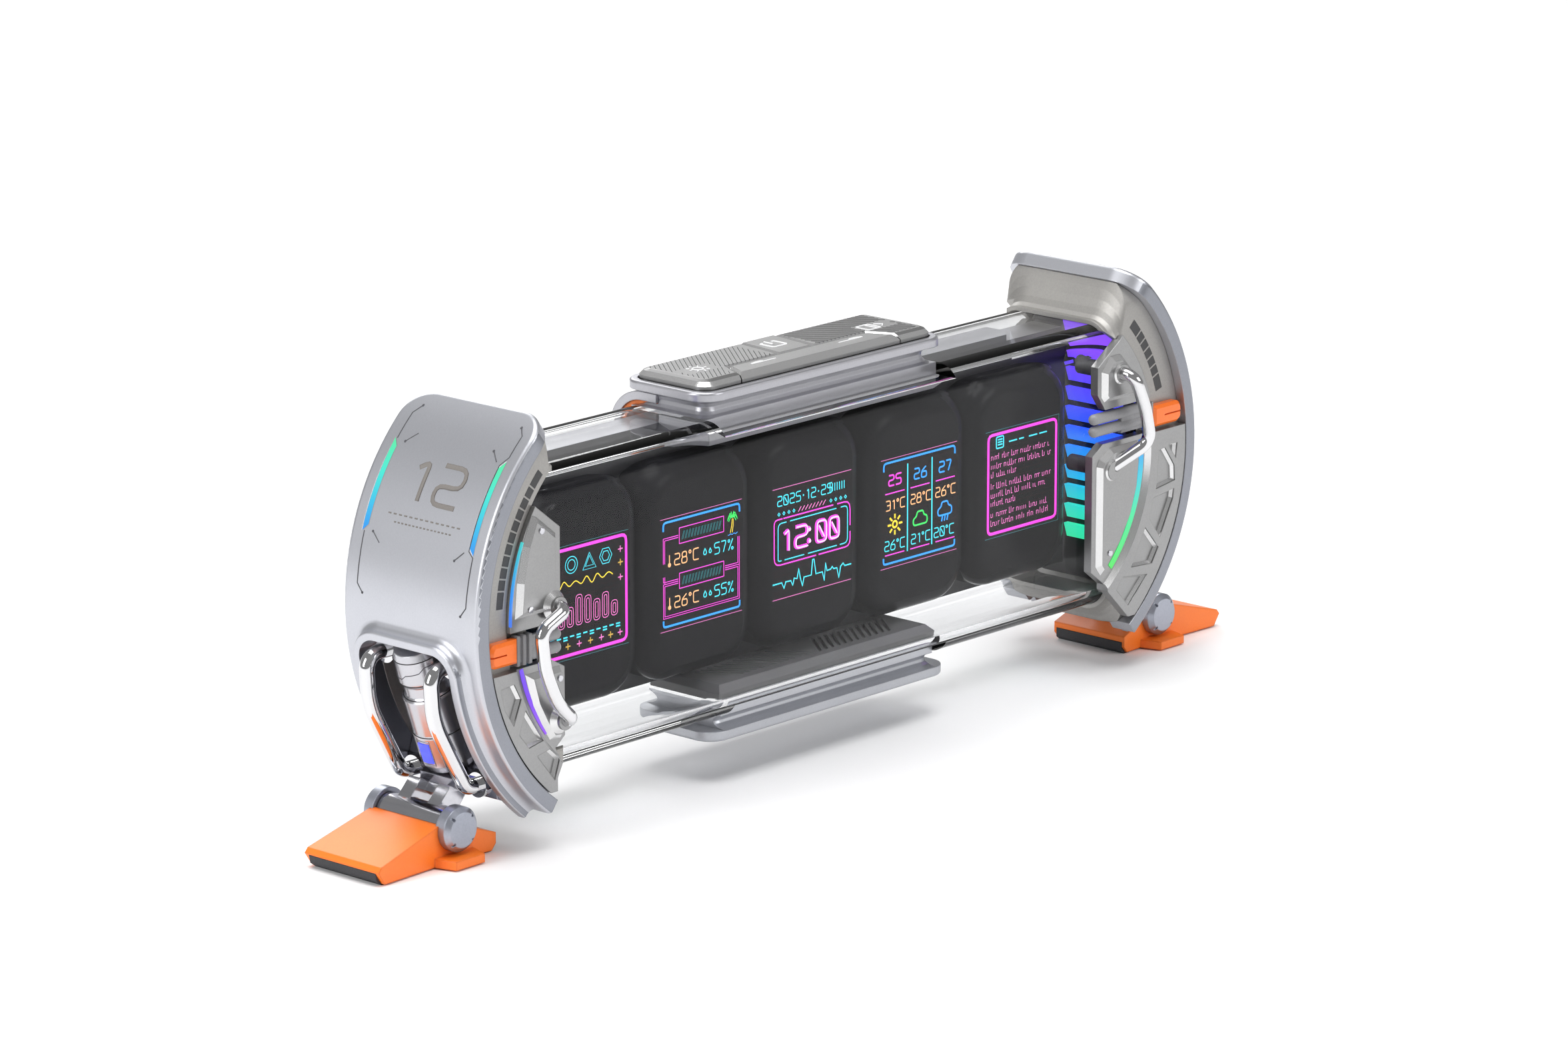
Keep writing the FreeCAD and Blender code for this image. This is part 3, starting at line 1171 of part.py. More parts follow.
def main():
    os.makedirs("parts", exist_ok=True)
    save("clear_tube", clear_tube())
    save("chassis_beam", chassis_beam())
    save("main_board", main_board())
    for number, x in enumerate(module_centres()):
        save("display_module_%d" % (number + 1), display_module(x))
    save("display_panels", [display_panel(x) for x in module_centres()])
    for side in ("left", "right"):
        save(side + "_plate", at_end(end_plate(), side))
        casting = collar().cut(socket_hole()) if side == SOCKET_SIDE else collar()
        save(side + "_collar", at_end(casting, side))
        save(side + "_recess_pan", at_end(recess_pan(), side))
        save(side + "_column", at_end(column(), side))
        save(side + "_outer_bars", [at_end(piece, side) for sign in (-1, 1)
                                    for piece in [outer_bar(sign)] + outer_posts(sign)])
        save(side + "_yoke", at_end(yoke(), side))
        save(side + "_hinge_pin", at_end(hinge_pin(), side))
        save(side + "_hinge_caps", [at_end(hinge_cap(sign), side) for sign in (-1, 1)])
        save(side + "_foot", at_end(foot(), side))
        save(side + "_foot_pads", [at_end(pad, side) for pad in foot_pad_blanks()])
        save(side + "_light_wall", mirrored_end(light_wall(), side))
        for face in (-1, 1):
            front = (side == "right") == (face == -1)
            where = side + ("_front" if front else "_back")
            socket_here = face == 1 and side == SOCKET_SIDE
            save(where + "_upper_cheek", at_end(cheek(face, True), side))
            save(where + "_lower_cheek", at_end(cheek(face, False, socket_here), side))
    both = [(side, face) for side in ("left", "right") for face in (-1, 1)]
    save("cheek_bars", [at_end(handle(face), side) for side, face in both])
    save("cheek_lights", [at_end(light, side) for side, face in both for light in cheek_lights(face)])
    save("vent_bars", [at_end(bar, side) for side, face in both for bar in vent_bars(face)])
    save("wall_lights", [mirrored_end(light, side) for side in ("left", "right") for light in wall_lights()])
    save("release_tabs", [at_end(release_tab(face), side) for side, face in both])
    save("ribbed_connectors", [at_end(ribbed_connector(face), side) for side, face in both])
    save("bar_standoffs", [at_end(sleeve, side) for side, face in both for sleeve in standoffs(face)])
    save("cheek_screws", [at_end(screw, side) for side, face in both for screw in cheek_screws(face)])
    save("plate_light_bars", [at_end(light_bar(sign), side) for side in ("left", "right") for sign in (-1, 1)])
    save("power_socket", at_end(power_socket(), SOCKET_SIDE))
    save("top_housing", top_housing())
    save("top_clamp", top_clamp())
    save("key_board", key_board())
    for name in key_outlines():
        save(name, key(name))
    save("rear_clip", rear_clip())
    save("clip_pad", clip_pad())
    save("base_housing", base_housing())
    save("base_clamp", base_clamp())


main()
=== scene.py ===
import math

import bpy
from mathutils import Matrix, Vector


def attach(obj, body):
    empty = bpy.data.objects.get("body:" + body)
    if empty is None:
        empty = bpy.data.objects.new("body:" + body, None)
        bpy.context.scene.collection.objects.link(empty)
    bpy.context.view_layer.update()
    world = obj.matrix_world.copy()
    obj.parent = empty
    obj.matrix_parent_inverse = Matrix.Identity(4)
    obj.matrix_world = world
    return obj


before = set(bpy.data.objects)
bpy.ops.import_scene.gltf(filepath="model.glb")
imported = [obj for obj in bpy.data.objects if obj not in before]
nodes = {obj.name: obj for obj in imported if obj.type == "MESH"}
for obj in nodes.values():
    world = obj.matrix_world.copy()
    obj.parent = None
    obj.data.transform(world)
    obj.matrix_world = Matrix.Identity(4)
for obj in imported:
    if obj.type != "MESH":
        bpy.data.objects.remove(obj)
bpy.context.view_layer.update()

mm = 0.001

# where the main forms are, in mm, as in the part's source
clock = {"screenPitch": 30.0, "screenZ": 40.2, "screenY": -4.4, "plateRadius": 44.8, "plateX": 54.2, "plateZ": 42.6}


def deselect():
    if bpy.context.object and bpy.context.object.mode != "OBJECT":
        bpy.ops.object.mode_set(mode="OBJECT")
    bpy.ops.object.select_all(action="DESELECT")


def pick(piece):
    deselect()
    piece.select_set(True)
    bpy.context.view_layer.objects.active = piece


def settle(piece, material, body="clock_body"):
    pick(piece)
    bpy.ops.object.transform_apply(location=True, rotation=True, scale=True)
    piece.data.materials.clear()
    piece.data.materials.append(material)
    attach(piece, body)
    return piece


deselect()

# shared effects
grain = {"fineShare": 0.45, "scale": 3000.0, "smudgeScale": 60.0, "bump": 0.15, "bumpDepth": 0.00002, "edge": 0.0003}


def groupSocket(group, name, kind, inOut, value=None):
    socket = group.interface.new_socket(name=name, in_out=inOut, socket_type=kind)
    if value is not None:
        socket.default_value = value
    return socket


def makeGrainGroup():
    group = bpy.data.node_groups.new("surfaceGrain", "ShaderNodeTree")
    groupSocket(group, "Color", "NodeSocketColor", "INPUT", (0.5, 0.5, 0.5, 1))
    groupSocket(group, "Tint", "NodeSocketColor", "INPUT", (0.4, 0.4, 0.4, 1))
    groupSocket(group, "Roughness", "NodeSocketFloat", "INPUT", 0.4)
    groupSocket(group, "Roughness Spread", "NodeSocketFloat", "INPUT", 0.1)
    groupSocket(group, "Grain Scale", "NodeSocketFloat", "INPUT", grain["scale"])
    groupSocket(group, "Smudge Scale", "NodeSocketFloat", "INPUT", grain["smudgeScale"])
    groupSocket(group, "Stretch", "NodeSocketVector", "INPUT", (1.0, 1.0, 1.0))
    groupSocket(group, "Color", "NodeSocketColor", "OUTPUT")
    groupSocket(group, "Roughness", "NodeSocketFloat", "OUTPUT")
    groupSocket(group, "Height", "NodeSocketFloat", "OUTPUT")
    tree, links = group.nodes, group.links
    inside = tree.new("NodeGroupInput")
    outside = tree.new("NodeGroupOutput")
    place = tree.new("ShaderNodeTexCoord")
    stretch = tree.new("ShaderNodeVectorMath")
    stretch.operation = "MULTIPLY"
    links.new(place.outputs["Object"], stretch.inputs[0])
    links.new(inside.outputs["Stretch"], stretch.inputs[1])
    fine = tree.new("ShaderNodeTexNoise")
    fine.inputs["Detail"].default_value = 2.0
    links.new(stretch.outputs[0], fine.inputs["Vector"])
    links.new(inside.outputs["Grain Scale"], fine.inputs["Scale"])
    smudge = tree.new("ShaderNodeTexNoise")
    smudge.inputs["Detail"].default_value = 3.0
    smudge.inputs["Roughness"].default_value = 0.6
    links.new(place.outputs["Object"], smudge.inputs["Vector"])
    links.new(inside.outputs["Smudge Scale"], smudge.inputs["Scale"])
    both = tree.new("ShaderNodeMath")
    both.operation = "MULTIPLY_ADD"
    both.inputs[1].default_value = grain["fineShare"]
    links.new(fine.outputs["Fac"], both.inputs[0])
    smudgePart = tree.new("ShaderNodeMath")
    smudgePart.operation = "MULTIPLY"
    smudgePart.inputs[1].default_value = 1.0 - grain["fineShare"]
    links.new(smudge.outputs["Fac"], smudgePart.inputs[0])
    links.new(smudgePart.outputs[0], both.inputs[2])
    spread = tree.new("ShaderNodeMath")
    spread.operation = "SUBTRACT"
    spread.inputs[1].default_value = 0.5
    links.new(both.outputs[0], spread.inputs[0])
    rough = tree.new("ShaderNodeMath")
    rough.operation = "MULTIPLY_ADD"
    rough.use_clamp = True
    links.new(spread.outputs[0], rough.inputs[0])
    links.new(inside.outputs["Roughness Spread"], rough.inputs[1])
    links.new(inside.outputs["Roughness"], rough.inputs[2])
    wider = tree.new("ShaderNodeMapRange")
    wider.inputs["From Min"].default_value = 0.3
    wider.inputs["From Max"].default_value = 0.7
    links.new(both.outputs[0], wider.inputs["Value"])
    mix = tree.new("ShaderNodeMix")
    mix.data_type = "RGBA"
    links.new(wider.outputs["Result"], mix.inputs["Factor"])
    links.new(inside.outputs["Color"], mix.inputs[6])
    links.new(inside.outputs["Tint"], mix.inputs[7])
    links.new(mix.outputs[2], outside.inputs["Color"])
    links.new(rough.outputs[0], outside.inputs["Roughness"])
    links.new(fine.outputs["Fac"], outside.inputs["Height"])
    return group


grainGroup = makeGrainGroup()


def newMaterial(name, **sockets):
    material = bpy.data.materials.new(name)
    material.use_nodes = True
    shader = material.node_tree.nodes["Principled BSDF"]
    for socket, value in sockets.items():
        key = socket.replace("_", " ")
        shader.inputs[key].default_value = (*value, 1) if isinstance(value, tuple) and len(value) == 3 else value
    return material, shader


def grained(name, color, tint, roughness, spread, scale=grain["scale"], bump=grain["bump"], edge=grain["edge"],
            stretch=(1, 1, 1), **sockets):
    material, shader = newMaterial(name, **sockets)
    tree, links = material.node_tree.nodes, material.node_tree.links
    look = tree.new("ShaderNodeGroup")
    look.node_tree = grainGroup
    look.inputs["Color"].default_value = (*color, 1)
    look.inputs["Tint"].default_value = (*tint, 1)
    look.inputs["Roughness"].default_value = roughness
    look.inputs["Roughness Spread"].default_value = spread
    look.inputs["Grain Scale"].default_value = scale
    look.inputs["Smudge Scale"].default_value = grain["smudgeScale"]
    look.inputs["Stretch"].default_value = stretch
    bumpNode = tree.new("ShaderNodeBump")
    bumpNode.inputs["Strength"].default_value = bump
    bumpNode.inputs["Distance"].default_value = grain["bumpDepth"]
    links.new(look.outputs["Height"], bumpNode.inputs["Height"])
    if edge:
        bevel = tree.new("ShaderNodeBevel")
        bevel.samples = 4
        bevel.inputs["Radius"].default_value = edge
        links.new(bevel.outputs["Normal"], bumpNode.inputs["Normal"])
    links.new(look.outputs["Color"], shader.inputs["Base Color"])
    links.new(look.outputs["Roughness"], shader.inputs["Roughness"])
    links.new(bumpNode.outputs["Normal"], shader.inputs["Normal"])
    return material


def glowing(name, color, strength):
    return newMaterial(name, Base_Color=tuple(c * 0.3 for c in color), Roughness=0.4, Emission_Color=color,
                       Emission_Strength=strength)[0]


def fillRamp(ramp, stops):
    elements = ramp.color_ramp.elements
    while len(elements) > 1:
        elements.remove(elements[-1])
    elements[0].position, elements[0].color = stops[0][0], (*stops[0][1], 1)
    for position, color in stops[1:]:
        elements.new(position).color = (*color, 1)


def heightRamp(material, split, low, high, stops):
    # colours that change with height, from low to high in mm
    tree, links = material.node_tree.nodes, material.node_tree.links
    span = tree.new("ShaderNodeMapRange")
    span.inputs["From Min"].default_value = low * mm
    span.inputs["From Max"].default_value = high * mm
    links.new(split.outputs["Z"], span.inputs["Value"])
    ramp = tree.new("ShaderNodeValToRGB")
    fillRamp(ramp, stops)
    links.new(span.outputs["Result"], ramp.inputs["Fac"])
    return ramp


def splitPlace(material):
    tree, links = material.node_tree.nodes, material.node_tree.links
    place = tree.new("ShaderNodeTexCoord")
    split = tree.new("ShaderNodeSeparateXYZ")
    links.new(place.outputs["Object"], split.inputs[0])
    return split


def gradientGlow(name, low, high, stops, strength, pale=True):
    material, shader = newMaterial(name, Base_Color=(0.02, 0.02, 0.02), Roughness=0.25, Emission_Strength=strength)
    ramp = heightRamp(material, splitPlace(material), low, high, stops)
    links = material.node_tree.links
    if pale:
        links.new(ramp.outputs["Color"], shader.inputs["Base Color"])
    links.new(ramp.outputs["Color"], shader.inputs["Emission Color"])
    return material


# finishes
satinSilver = grained("satinSilver", (0.58, 0.59, 0.63), (0.53, 0.54, 0.58), 0.36, 0.08, Metallic=0.85)
# a half-bright copy of the plate's satin metal for the plate's front and back faces: painted shade
plateEdgePaintedShade = grained("plateEdgePaintedShade", (0.30, 0.31, 0.345), (0.265, 0.275, 0.305), 0.3, 0.08, Metallic=0.9)
unitSilver = grained("unitSilver", (0.48, 0.48, 0.51), (0.43, 0.43, 0.46), 0.36, 0.08, Metallic=0.85)
baseSilver = grained("baseSilver", (0.48, 0.49, 0.52), (0.43, 0.44, 0.47), 0.36, 0.08, Metallic=0.85)
casting = grained("blastedCasting", (0.40, 0.39, 0.37), (0.33, 0.32, 0.31), 0.46, 0.12, scale=2600.0, bump=0.5,
                  Metallic=0.75)
cheekMetal = grained("cheekMetal", (0.35, 0.35, 0.35), (0.30, 0.30, 0.30), 0.3, 0.1, edge=0.0002, Metallic=0.85)
# a bright copy of the cheek metal for the sloped bevel faces of the cheeks and keys: painted highlight
bevelPaintedHighlight = grained("bevelPaintedHighlight", (0.78, 0.78, 0.78), (0.72, 0.72, 0.72), 0.26, 0.06, bump=0.04, edge=0.0,
                     Metallic=0.9)
recessMetal = grained("recessMetal", (0.34, 0.34, 0.38), (0.28, 0.28, 0.32), 0.24, 0.1, Metallic=0.95)
columnMetal = grained("columnMetal", (0.58, 0.58, 0.61), (0.51, 0.51, 0.54), 0.24, 0.08, Metallic=0.95)
chrome = grained("chromeBar", (0.74, 0.74, 0.75), (0.70, 0.70, 0.71), 0.04, 0.03, bump=0.02, edge=0.0, Metallic=1.0)
hingeSteel = grained("hingeSteel", (0.66, 0.66, 0.69), (0.56, 0.56, 0.60), 0.14, 0.08, scale=1500.0, bump=0.06,
                     stretch=(1, 0.1, 1), Metallic=1.0)
capMetal = grained("capMetal", (0.42, 0.44, 0.50), (0.35, 0.37, 0.43), 0.36, 0.08, Metallic=0.85)
keyMetal = grained("keyMetal", (0.27, 0.27, 0.27), (0.235, 0.235, 0.235), 0.38, 0.1, Metallic=0.8)
orangeSatin = grained("orangeSatin", (1.0, 0.22, 0.015), (0.94, 0.18, 0.012), 0.42, 0.08, bump=0.2, edge=0.0005,
                      Coat_Weight=0.15, Coat_Roughness=0.3)
orangeTab = grained("orangeTab", (1.0, 0.20, 0.015), (0.92, 0.16, 0.012), 0.34, 0.08, edge=0.0002, Coat_Weight=0.2,
                    Coat_Roughness=0.2)
softPad = grained("softPad", (0.75, 0.2, 0.05), (0.62, 0.15, 0.04), 0.7, 0.1, bump=0.4)
darkRubber = grained("darkRubber", (0.04, 0.04, 0.045), (0.025, 0.025, 0.028), 0.62, 0.1, bump=0.4)
darkMetal = grained("darkMetal", (0.03, 0.03, 0.032), (0.02, 0.02, 0.022), 0.34, 0.1, Metallic=0.2)
channelMetal = grained("channelMetal", (0.03, 0.03, 0.032), (0.02, 0.02, 0.022), 0.34, 0.1, Metallic=0.2,
                       Specular_IOR_Level=0.3)
# pale grey for the up-facing faces of the black chassis beam: painted light on its top
beamTopPaintedLight = grained("beamTopPaintedLight", (0.32, 0.32, 0.34), (0.27, 0.27, 0.29), 0.36, 0.08, Metallic=0.6)
greyPlastic = grained("greyPlastic", (0.30, 0.30, 0.31), (0.25, 0.25, 0.26), 0.38, 0.1)
clampPlastic = grained("clampPlastic", (0.12, 0.12, 0.122), (0.09, 0.09, 0.092), 0.36, 0.08)
boardMask = grained("boardMask", (0.01, 0.06, 0.035), (0.008, 0.045, 0.028), 0.4, 0.08)
slotDark = grained("slotDark", (0.05, 0.05, 0.052), (0.035, 0.035, 0.037), 0.45, 0.08)
blackGlass = grained("blackGlass", (0.005, 0.005, 0.006), (0.004, 0.004, 0.005), 0.14, 0.03, bump=0.0, edge=0.0,
                     Specular_IOR_Level=0.05)
engraving = grained("engraving", (0.10, 0.10, 0.11), (0.07, 0.07, 0.08), 0.5, 0.1)
groove = grained("keyGroove", (0.11, 0.11, 0.11), (0.09, 0.09, 0.09), 0.45, 0.08, Metallic=0.5)
printGrey = grained("printGrey", (0.20, 0.185, 0.17), (0.175, 0.16, 0.15), 0.55, 0.1)
printWhite = grained("printWhite", (0.86, 0.86, 0.87), (0.8, 0.8, 0.81), 0.5, 0.1)
columnWindow = glowing("columnWindow", (0.10, 0.13, 0.98), 0.9)

ladderGlow = gradientGlow("ladderGlow", 20.0, 62.0, [
    (0.0, (0.03, 0.75, 0.25)), (0.2, (0.03, 0.70, 0.50)), (0.4, (0.02, 0.40, 0.85)), (0.62, (0.03, 0.10, 0.90)),
    (0.85, (0.10, 0.05, 0.85)), (1.0, (0.20, 0.06, 0.80))], 0.9)
plateGlow = gradientGlow("plateGlow", 56.6, 71.5, [
    (0.0, (0.02, 0.32, 0.95)), (0.3, (0.03, 0.55, 0.88)), (0.65, (0.05, 0.86, 0.70)), (1.0, (0.10, 0.88, 0.40))],
    0.95, pale=False)


arcSpans = {
    "green": (21.3, 45.2, [(0.0, (0.08, 0.80, 0.12)), (0.4, (0.05, 0.80, 0.35)), (0.7, (0.04, 0.60, 0.75)),
                           (1.0, (0.03, 0.28, 0.9))]),
    "violet": (21.3, 57.5, [(0.0, (0.30, 0.08, 0.90)), (0.37, (0.20, 0.09, 0.90)), (0.5, (0.08, 0.14, 0.85)),
                            (0.75, (0.03, 0.30, 0.90)), (1.0, (0.06, 0.62, 0.60))]),
}


def makeArcGlow():
    # the strips of one end differ: where x and y have opposite signs it is the long green one
    material, shader = newMaterial("arcGlow", Base_Color=(0.02, 0.02, 0.02), Roughness=0.25, Emission_Strength=1.0)
    tree, links = material.node_tree.nodes, material.node_tree.links
    split = splitPlace(material)
    product = tree.new("ShaderNodeMath")
    product.operation = "MULTIPLY"
    links.new(split.outputs["X"], product.inputs[0])
    links.new(split.outputs["Y"], product.inputs[1])
    sameSign = tree.new("ShaderNodeMath")
    sameSign.operation = "GREATER_THAN"
    sameSign.inputs[1].default_value = 0.0
    links.new(product.outputs[0], sameSign.inputs[0])
    mix = tree.new("ShaderNodeMix")
    mix.data_type = "RGBA"
    links.new(sameSign.outputs[0], mix.inputs["Factor"])
    links.new(heightRamp(material, split, *arcSpans["green"]).outputs["Color"], mix.inputs[6])
    links.new(heightRamp(material, split, *arcSpans["violet"]).outputs["Color"], mix.inputs[7])
    links.new(mix.outputs[2], shader.inputs["Emission Color"])
    return material


arcGlow = makeArcGlow()


def makeClear():
    material, shader = newMaterial("clearPolymer", Base_Color=(0.99, 0.995, 1.0), Roughness=0.0, IOR=1.3,
                                   Specular_Tint=(0.12, 0.12, 0.122), Transmission_Weight=1.0)
    tree, links = material.node_tree.nodes, material.node_tree.links
    shadow = tree.new("ShaderNodeBsdfTransparent")
    path = tree.new("ShaderNodeLightPath")
    mix = tree.new("ShaderNodeMixShader")
    links.new(path.outputs["Is Shadow Ray"], mix.inputs[0])
    links.new(shader.outputs[0], mix.inputs[1])
    links.new(shadow.outputs[0], mix.inputs[2])
    links.new(mix.outputs[0], tree["Material Output"].inputs["Surface"])
    return material


clearPolymer = makeClear()


def makeScreenGlass():
    material, shader = newMaterial("screenGlass", Roughness=0.14, Specular_IOR_Level=0.05)
    tree, links = material.node_tree.nodes, material.node_tree.links
    place = tree.new("ShaderNodeTexCoord")
    turn = tree.new("ShaderNodeMapping")
    turn.inputs["Rotation"].default_value = (math.radians(-90), 0, 0)
    bricks = tree.new("ShaderNodeTexBrick")
    bricks.inputs["Color1"].default_value = (0.004, 0.004, 0.005, 1)
    bricks.inputs["Color2"].default_value = (0.005, 0.004, 0.005, 1)
    bricks.inputs["Mortar"].default_value = (0.022, 0.007, 0.009, 1)
    bricks.inputs["Scale"].default_value = 500.0
    bricks.inputs["Mortar Size"].default_value = 0.02
    bricks.inputs["Brick Width"].default_value = 1.1
    bricks.inputs["Row Height"].default_value = 0.5
    links.new(place.outputs["Object"], turn.inputs["Vector"])
    links.new(turn.outputs[0], bricks.inputs["Vector"])
    links.new(bricks.outputs["Color"], shader.inputs["Base Color"])
    links.new(bricks.outputs["Color"], shader.inputs["Emission Color"])
    shader.inputs["Emission Strength"].default_value = 0.3
    return material


screenGlass = makeScreenGlass()

dressing = {
    "clear_tube": clearPolymer, "chassis_beam": channelMetal, "main_board": boardMask, "display_panels": screenGlass,
    "plate_light_bars": plateGlow, "wall_lights": ladderGlow, "cheek_lights": arcGlow, "vent_bars": slotDark,
    "cheek_bars": chrome, "release_tabs": orangeTab, "ribbed_connectors": greyPlastic, "bar_standoffs": darkRubber,
    "cheek_screws": hingeSteel, "power_socket": hingeSteel, "top_housing": unitSilver, "top_clamp": greyPlastic,
    "key_board": darkMetal, "rear_clip": unitSilver, "clip_pad": softPad, "base_housing": baseSilver,
    "base_clamp": clampPlastic,
}
keys = ("light_key", "power_key", "mode_key", "rocker_key")
for name in keys:
    dressing[name] = keyMetal
for number in range(1, 6):
    dressing["display_module_%d" % number] = blackGlass
ends = {
    "plate": satinSilver, "collar": casting, "recess_pan": recessMetal, "column": columnMetal, "outer_bars": chrome,
    "yoke": hingeSteel, "hinge_pin": hingeSteel, "hinge_caps": capMetal, "foot": orangeSatin, "foot_pads": darkRubber,
    "light_wall": darkMetal,
}
cheeks = ("front_upper_cheek", "front_lower_cheek", "back_upper_cheek", "back_lower_cheek")
for name in cheeks:
    ends[name] = cheekMetal
for side in ("left", "right"):
    for name, material in ends.items():
        dressing[side + "_" + name] = material
for name, node in nodes.items():
    node.data.materials.clear()
    node.data.materials.append(dressing[name])


def paintFacesByFacing(name, material, test):
    # a second material, carrying painted highlight and shade, on the faces whose normal passes the test
    mesh = nodes[name].data
    mesh.materials.append(material)
    for face in mesh.polygons:
        if test(face.normal):
            face.material_index = 1


for side in ("left", "right"):
    # the plate's front and back faces darker: painted shade
    paintFacesByFacing(side + "_plate", plateEdgePaintedShade, lambda n: abs(n.y) > 0.9)
    for name in cheeks:
        # the cheeks' sloped faces take the brighter metal: painted highlight
        paintFacesByFacing(side + "_" + name, bevelPaintedHighlight, lambda n: 0.2 < abs(n.y) < 0.92)
for name in keys:
    # the keys' sloped faces take the brighter metal too: painted highlight
    paintFacesByFacing(name, bevelPaintedHighlight, lambda n: 0.2 < n.z < 0.92)
# the beam's top faces pale: painted light
paintFacesByFacing("chassis_beam", beamTopPaintedLight, lambda n: n.z > 0.9)
print("finishes on", len(dressing), "nodes")

# room
room = {"floorSize": 30.0, "floorColor": (0.93, 0.93, 0.935), "worldColor": (1.0, 1.0, 1.0), "worldStrength": 0.28}
lampAim = (0, 0, 0.04)
lamps = [
    {"name": "topSoftbox", "at": (-0.1, 0.0, 1.3), "size": (1.2, 0.8), "power": 15.0},
    {"name": "leftSoftbox", "at": (-1.5, 0.35, 0.75), "size": (0.7, 1.0), "power": 14.0},
    {"name": "frontSoftbox", "at": (0.7, -1.6, 0.9), "size": (1.2, 0.7), "power": 12.0},
    {"name": "backSoftbox", "at": (0.9, 1.4, 1.0), "size": (1.0, 0.6), "power": 9.0},
]


def makeRoom():
    bpy.ops.mesh.primitive_plane_add(size=room["floorSize"], location=(0, 0, 0))
    floor = bpy.context.object
    floor.name = "floor"
    floor.data.materials.append(newMaterial("paleFloor", Base_Color=room["floorColor"], Roughness=0.9)[0])
    world = bpy.data.worlds.new("studio")
    bpy.context.scene.world = world
    world.use_nodes = True
    backdrop = world.node_tree.nodes["Background"]
    backdrop.inputs["Color"].default_value = (*room["worldColor"], 1)
    backdrop.inputs["Strength"].default_value = room["worldStrength"]
    for lamp in lamps:
        bpy.ops.object.light_add(type="AREA", location=lamp["at"])
        light = bpy.context.object
        light.name = lamp["name"]
        light.data.shape = "RECTANGLE"
        light.data.size, light.data.size_y = lamp["size"]
        light.data.energy = lamp["power"]
        light.rotation_euler = (Vector(lampAim) - Vector(lamp["at"])).to_track_quat("-Z", "Y").to_euler()
    deselect()


def makeCamera():
    # lookAt and distance in mm, angles in degrees
    sight = {"lookAt": (-6.221, -4.0, 43.593), "azimuth": 47.737, "elevation": 14.419, "distance": 1216.47,
             "lens": 151.73}
    a, e = math.radians(sight["azimuth"]), math.radians(sight["elevation"])
    away = Vector((-math.sin(a) * math.cos(e), -math.cos(a) * math.cos(e), math.sin(e)))
    camera = bpy.data.objects.new("camera", bpy.data.cameras.new("camera"))
    bpy.context.scene.collection.objects.link(camera)
    camera.location = (Vector(sight["lookAt"]) + away * sight["distance"]) * mm
    camera.rotation_euler = (-away).to_track_quat("-Z", "Y").to_euler()
    camera.data.lens = sight["lens"]
    camera.data.sensor_width = 36.0
    camera.data.clip_start = 0.05
    camera.data.clip_end = 60.0
    bpy.context.scene.camera = camera


makeRoom()
makeCamera()
bpy.context.scene.view_settings.view_transform = "Standard"
print("room and camera")

# neon lines
neon = {
    "magenta": glowing("neonMagenta", (0.95, 0.05, 0.75), 1.0),
    "pinkCore": glowing("neonPinkCore", (1.0, 0.55, 0.95), 1.2),
    "cyan": glowing("neonCyan", (0.05, 0.72, 0.85), 1.0), "blue": glowing("neonBlue", (0.02, 0.35, 1.0), 1.0),
    "yellow": glowing("neonYellow", (1.0, 0.72, 0.03), 1.0), "amber": glowing("neonAmber", (1.0, 0.50, 0.22), 1.0),
    "pink": glowing("neonPink", (0.92, 0.20, 0.62), 0.9), "teal": glowing("neonTeal", (0.01, 0.16, 0.18), 0.9),
    "green": glowing("neonGreen", (0.03, 0.75, 0.12), 1.0), "gold": glowing("neonGold", (0.60, 0.38, 0.05), 0.9),
}


def roundCorners(points, radius, closed=False):
    # each corner becomes a short arc, so that a bent glass tube is drawn
    count = len(points)
    out = []
    for index, point in enumerate(points):
        if not closed and index in (0, count - 1):
            out.append(point)
            continue
        before, after = points[index - 1], points[(index + 1) % count]
        p, a, b = Vector(point), Vector(before), Vector(after)
        reach = min(radius, (a - p).length * 0.48, (b - p).length * 0.48)
        if reach < 1e-6:
            out.append(point)
            continue
        start, end = p + (a - p).normalized() * reach, p + (b - p).normalized() * reach
        for step in range(4):
            t = step / 3.0
            spot = start * (1 - t) ** 2 + p * 2 * t * (1 - t) + end * t ** 2
            out.append((spot.x, spot.y))
    return out


def ring(u, v, radius, sides):
    return [(u + radius * math.cos(2 * math.pi * n / sides), v + radius * math.sin(2 * math.pi * n / sides))
            for n in range(sides)]


# glyphs in a cell 4 wide and 6 high: lists of (points, closed)
glyphs = {
    "0": [([(0, 0), (4, 0), (4, 6), (0, 6)], True), ([(0.9, 4.7), (3.1, 1.3)], False)],
    "1": [([(0.8, 4.9), (2.2, 6), (2.2, 0)], False)],
    "2": [([(0.2, 6), (4, 6), (4, 3.1), (0, 3.1), (0, 0), (4, 0)], False)],
    "3": [([(0.2, 6), (4, 6), (4, 0), (0.2, 0)], False), ([(1.2, 3.2), (4, 3.2)], False)],
    "5": [([(4, 6), (0, 6), (0, 3.3), (4, 3.3), (4, 0), (0, 0)], False)],
    "6": [([(3.4, 6), (0.2, 3.6), (0, 0), (4, 0), (4, 3.3), (0.2, 3.3)], False)],
    "7": [([(0, 6), (4, 6), (1.6, 0)], False)],
    "8": [([(0.3, 3.2), (3.7, 3.2), (3.7, 6), (0.3, 6)], True), ([(0, 0), (4, 0), (4, 3.2), (0, 3.2)], True)],
    "C": [([(4, 6), (0, 6), (0, 0), (4, 0)], False)],
    "%": [([(3.8, 6), (0.4, 0)], False), (ring(0.7, 5.1, 0.7, 8), True), (ring(3.5, 0.9, 0.7, 8), True)],
    "*": [(ring(0.8, 5.2, 0.8, 8), True)],
    ".": [(ring(1.0, 3.0, 0.3, 6), True)],
}
